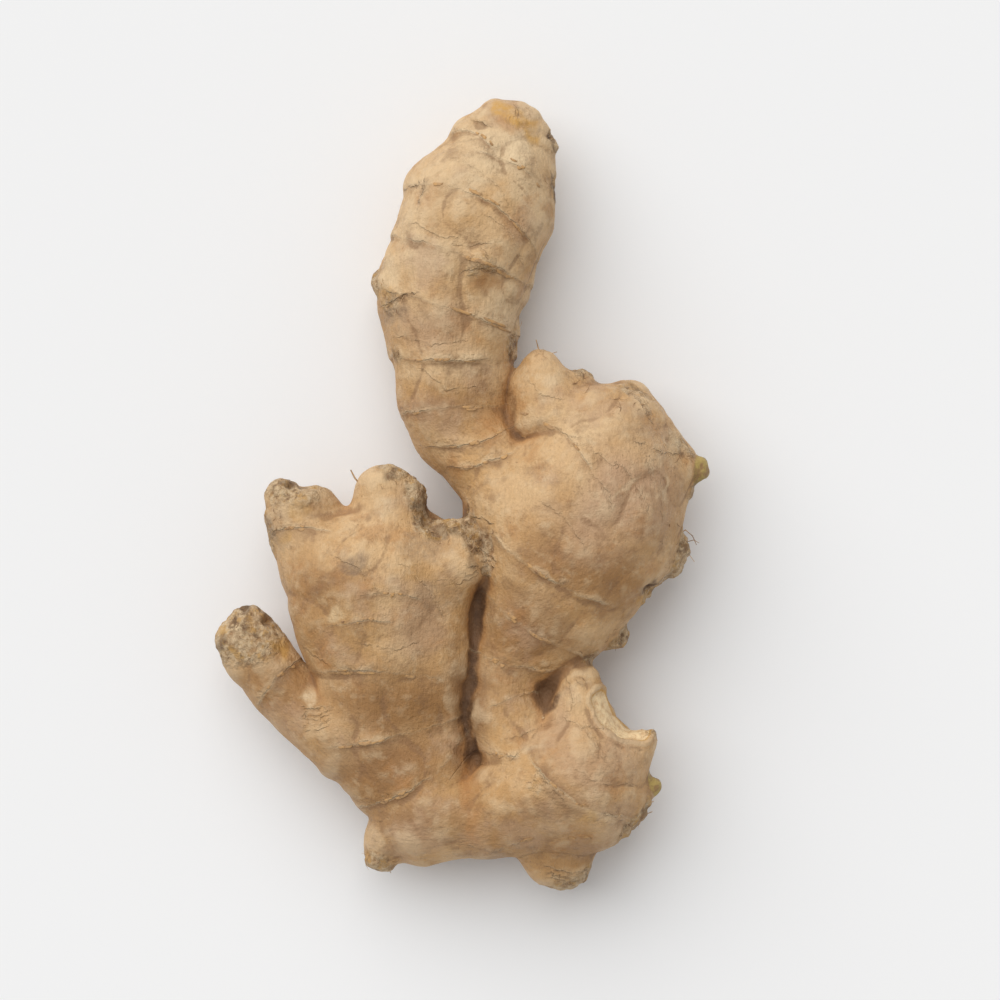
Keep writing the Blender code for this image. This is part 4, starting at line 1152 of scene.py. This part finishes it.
def add_flake(shape, tree, ring, rng):
    """A thin strip that is rooted at a scar's lip and curls up over its older side."""
    left, chord, towards_tip, bow = ring_shape(ring)
    start = rng.uniform(*FLAKE_PLACES)
    span = rng.uniform(*FLAKE_SPANS)
    count = max(4, round(span * np.linalg.norm(chord) / FLAKE_STEP))
    reach = rng.uniform(*FLAKE_REACH)
    lift = rng.uniform(*FLAKE_LIFT)
    shift = rng.uniform(*FLAKE_SHIFT)
    rows = []
    for step in range(count):
        along = step / (count - 1)
        place = start + span * along
        middle = left + place * chord + 4 * bow * place * (1 - place) * towards_tip
        jag = (math.sin(math.pi * along) ** 0.5 + 0.1) * rng.uniform(*FLAKE_TORN)
        curl = ((0.6 * reach * jag, 0.5 * lift * jag), (reach * jag, lift * jag))
        row = []
        for out, rise in FLAKE_ROOT + curl:
            below, normal = skin_below(tree, *(middle - (out + shift) * towards_tip))
            if below is None:
                return
            row.append(below + normal * rise)
        rows.append(row)
    made = [[shape.verts.new(place) for place in row] for row in rows]
    for row, following in zip(made, made[1:]):
        for i in range(len(row) - 1):
            shape.faces.new((row[i], following[i], following[i + 1], row[i + 1]))


def make_flakes(tree):
    rng = np.random.default_rng(FLAKE_SEED)
    shape = bmesh.new()
    for ring in RINGS:
        for _ in range(FLAKES_PER_RING):
            add_flake(shape, tree, ring, rng)
    flakes = new_object("skin_flakes", shape)
    thicken = flakes.modifiers.new("Thicken", "SOLIDIFY")
    thicken.thickness = FLAKE_THICKNESS
    thicken.offset = 0
    apply_modifiers(flakes)
    dress(flakes, paper_material())


def add_fibre(curve, tree, thickness, points):
    """A long listed fibre, rooted in the skin."""
    path = [Vector(point) * SIZE for point in points]
    root, normal, _face, _distance = tree.find_nearest(path[0])
    add_strand(curve, [root - normal * FIBRE_ROOT] + path, thickness * MM)


def add_shred(curve, tree, spot, rng):
    """A short loose fibre on a rough spot, left out where there is no skin below or it is steep."""
    turn = rng.uniform(0, 2 * math.pi)
    away = rng.uniform(0, SHRED_AWAY) * spot.radius * SIZE
    heading = rng.uniform(0, 2 * math.pi)
    length = rng.uniform(*SHRED_LENGTH)
    thickness = rng.uniform(*SHRED_THICKNESS)
    x = spot.x * SIZE + away * math.cos(turn)
    y = spot.y * SIZE + away * math.sin(turn)
    path = []
    for share in SHRED_POINTS:
        reach = share * length
        bend = heading + SHRED_BEND * share
        below, normal = skin_below(tree, x + reach * math.cos(bend), y + reach * math.sin(bend))
        if below is None or normal.z < SHRED_STEEPEST:
            return
        path.append(below + normal * (SHRED_RISE * share * length - 0.5 * thickness))
    add_strand(curve, path, thickness)


def make_rootlets(tree):
    """Loose fibres: the long ones listed one by one, and short shreds on the rough spots."""
    curve = bpy.data.curves.new("rootlets", "CURVE")
    curve.dimensions = "3D"
    curve.bevel_depth = 1.0
    curve.bevel_resolution = 1
    curve.use_fill_caps = True
    for thickness, *points in FIBRES:
        add_fibre(curve, tree, thickness, points)
    rng = np.random.default_rng(SHRED_SEED)
    for spot in ROUGH_SPOTS:
        for _ in range(SHREDS_PER_SPOT):
            add_shred(curve, tree, spot, rng)
    guide = in_scene("rootlet_guide", curve)
    rootlets = in_scene("rootlets", evaluated_mesh(guide))
    bpy.data.objects.remove(guide, do_unlink=True)
    dress(rootlets, fibre_material())


def add_strand(curve, path, thickness):
    """A fibre through a few points, thinner towards its free end."""
    spline = curve.splines.new("POLY")
    spline.points.add(len(path) - 1)
    for share, point, place in zip(np.linspace(0, 1, len(path)), spline.points, path):
        point.co = (*place, 1)
        point.radius = thickness / 2 * (1 - 0.6 * share)


def dress(piece, material):
    """Give a piece its material and smooth shading, and let it ride with the root."""
    piece.data.materials.clear()
    piece.data.materials.append(material)
    piece.data.shade_smooth()
    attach(piece, "root")


def make_table():
    shape = bmesh.new()
    bmesh.ops.create_grid(shape, x_segments=1, y_segments=1, size=TABLE_SIZE / 2)
    table = new_object("table", shape)
    table.data.materials.append(table_material())


def make_camera():
    camera = in_scene("camera", bpy.data.cameras.new("camera"))
    camera.location = CAMERA_PLACE
    camera.data.lens = CAMERA_LENS
    bpy.context.scene.camera = camera


def make_light():
    """One broad light from the upper left, and a pale surround."""
    key = in_scene("key_light", bpy.data.lights.new("key_light", "SUN"))
    key.data.energy = KEY_STRENGTH
    key.data.angle = math.radians(KEY_ANGLE)
    key.rotation_mode = "QUATERNION"
    key.rotation_quaternion = KEY_DIRECTION.to_track_quat("Z", "Y")
    world = bpy.data.worlds.new("surround")
    world.use_nodes = True
    surround = world.node_tree.nodes["Background"].inputs
    surround["Strength"].default_value = WORLD_STRENGTH
    surround["Color"].default_value = (1, 1, 1, 1)
    bpy.context.scene.world = world
    bpy.context.scene.view_settings.view_transform = "Standard"


make_camera()
make_light()
make_table()
rhizome_skin = make_rhizome()
bpy.context.view_layer.update()
skin_tree = BVHTree.FromObject(rhizome_skin, bpy.context.evaluated_depsgraph_get())
make_flakes(skin_tree)
make_rootlets(skin_tree)
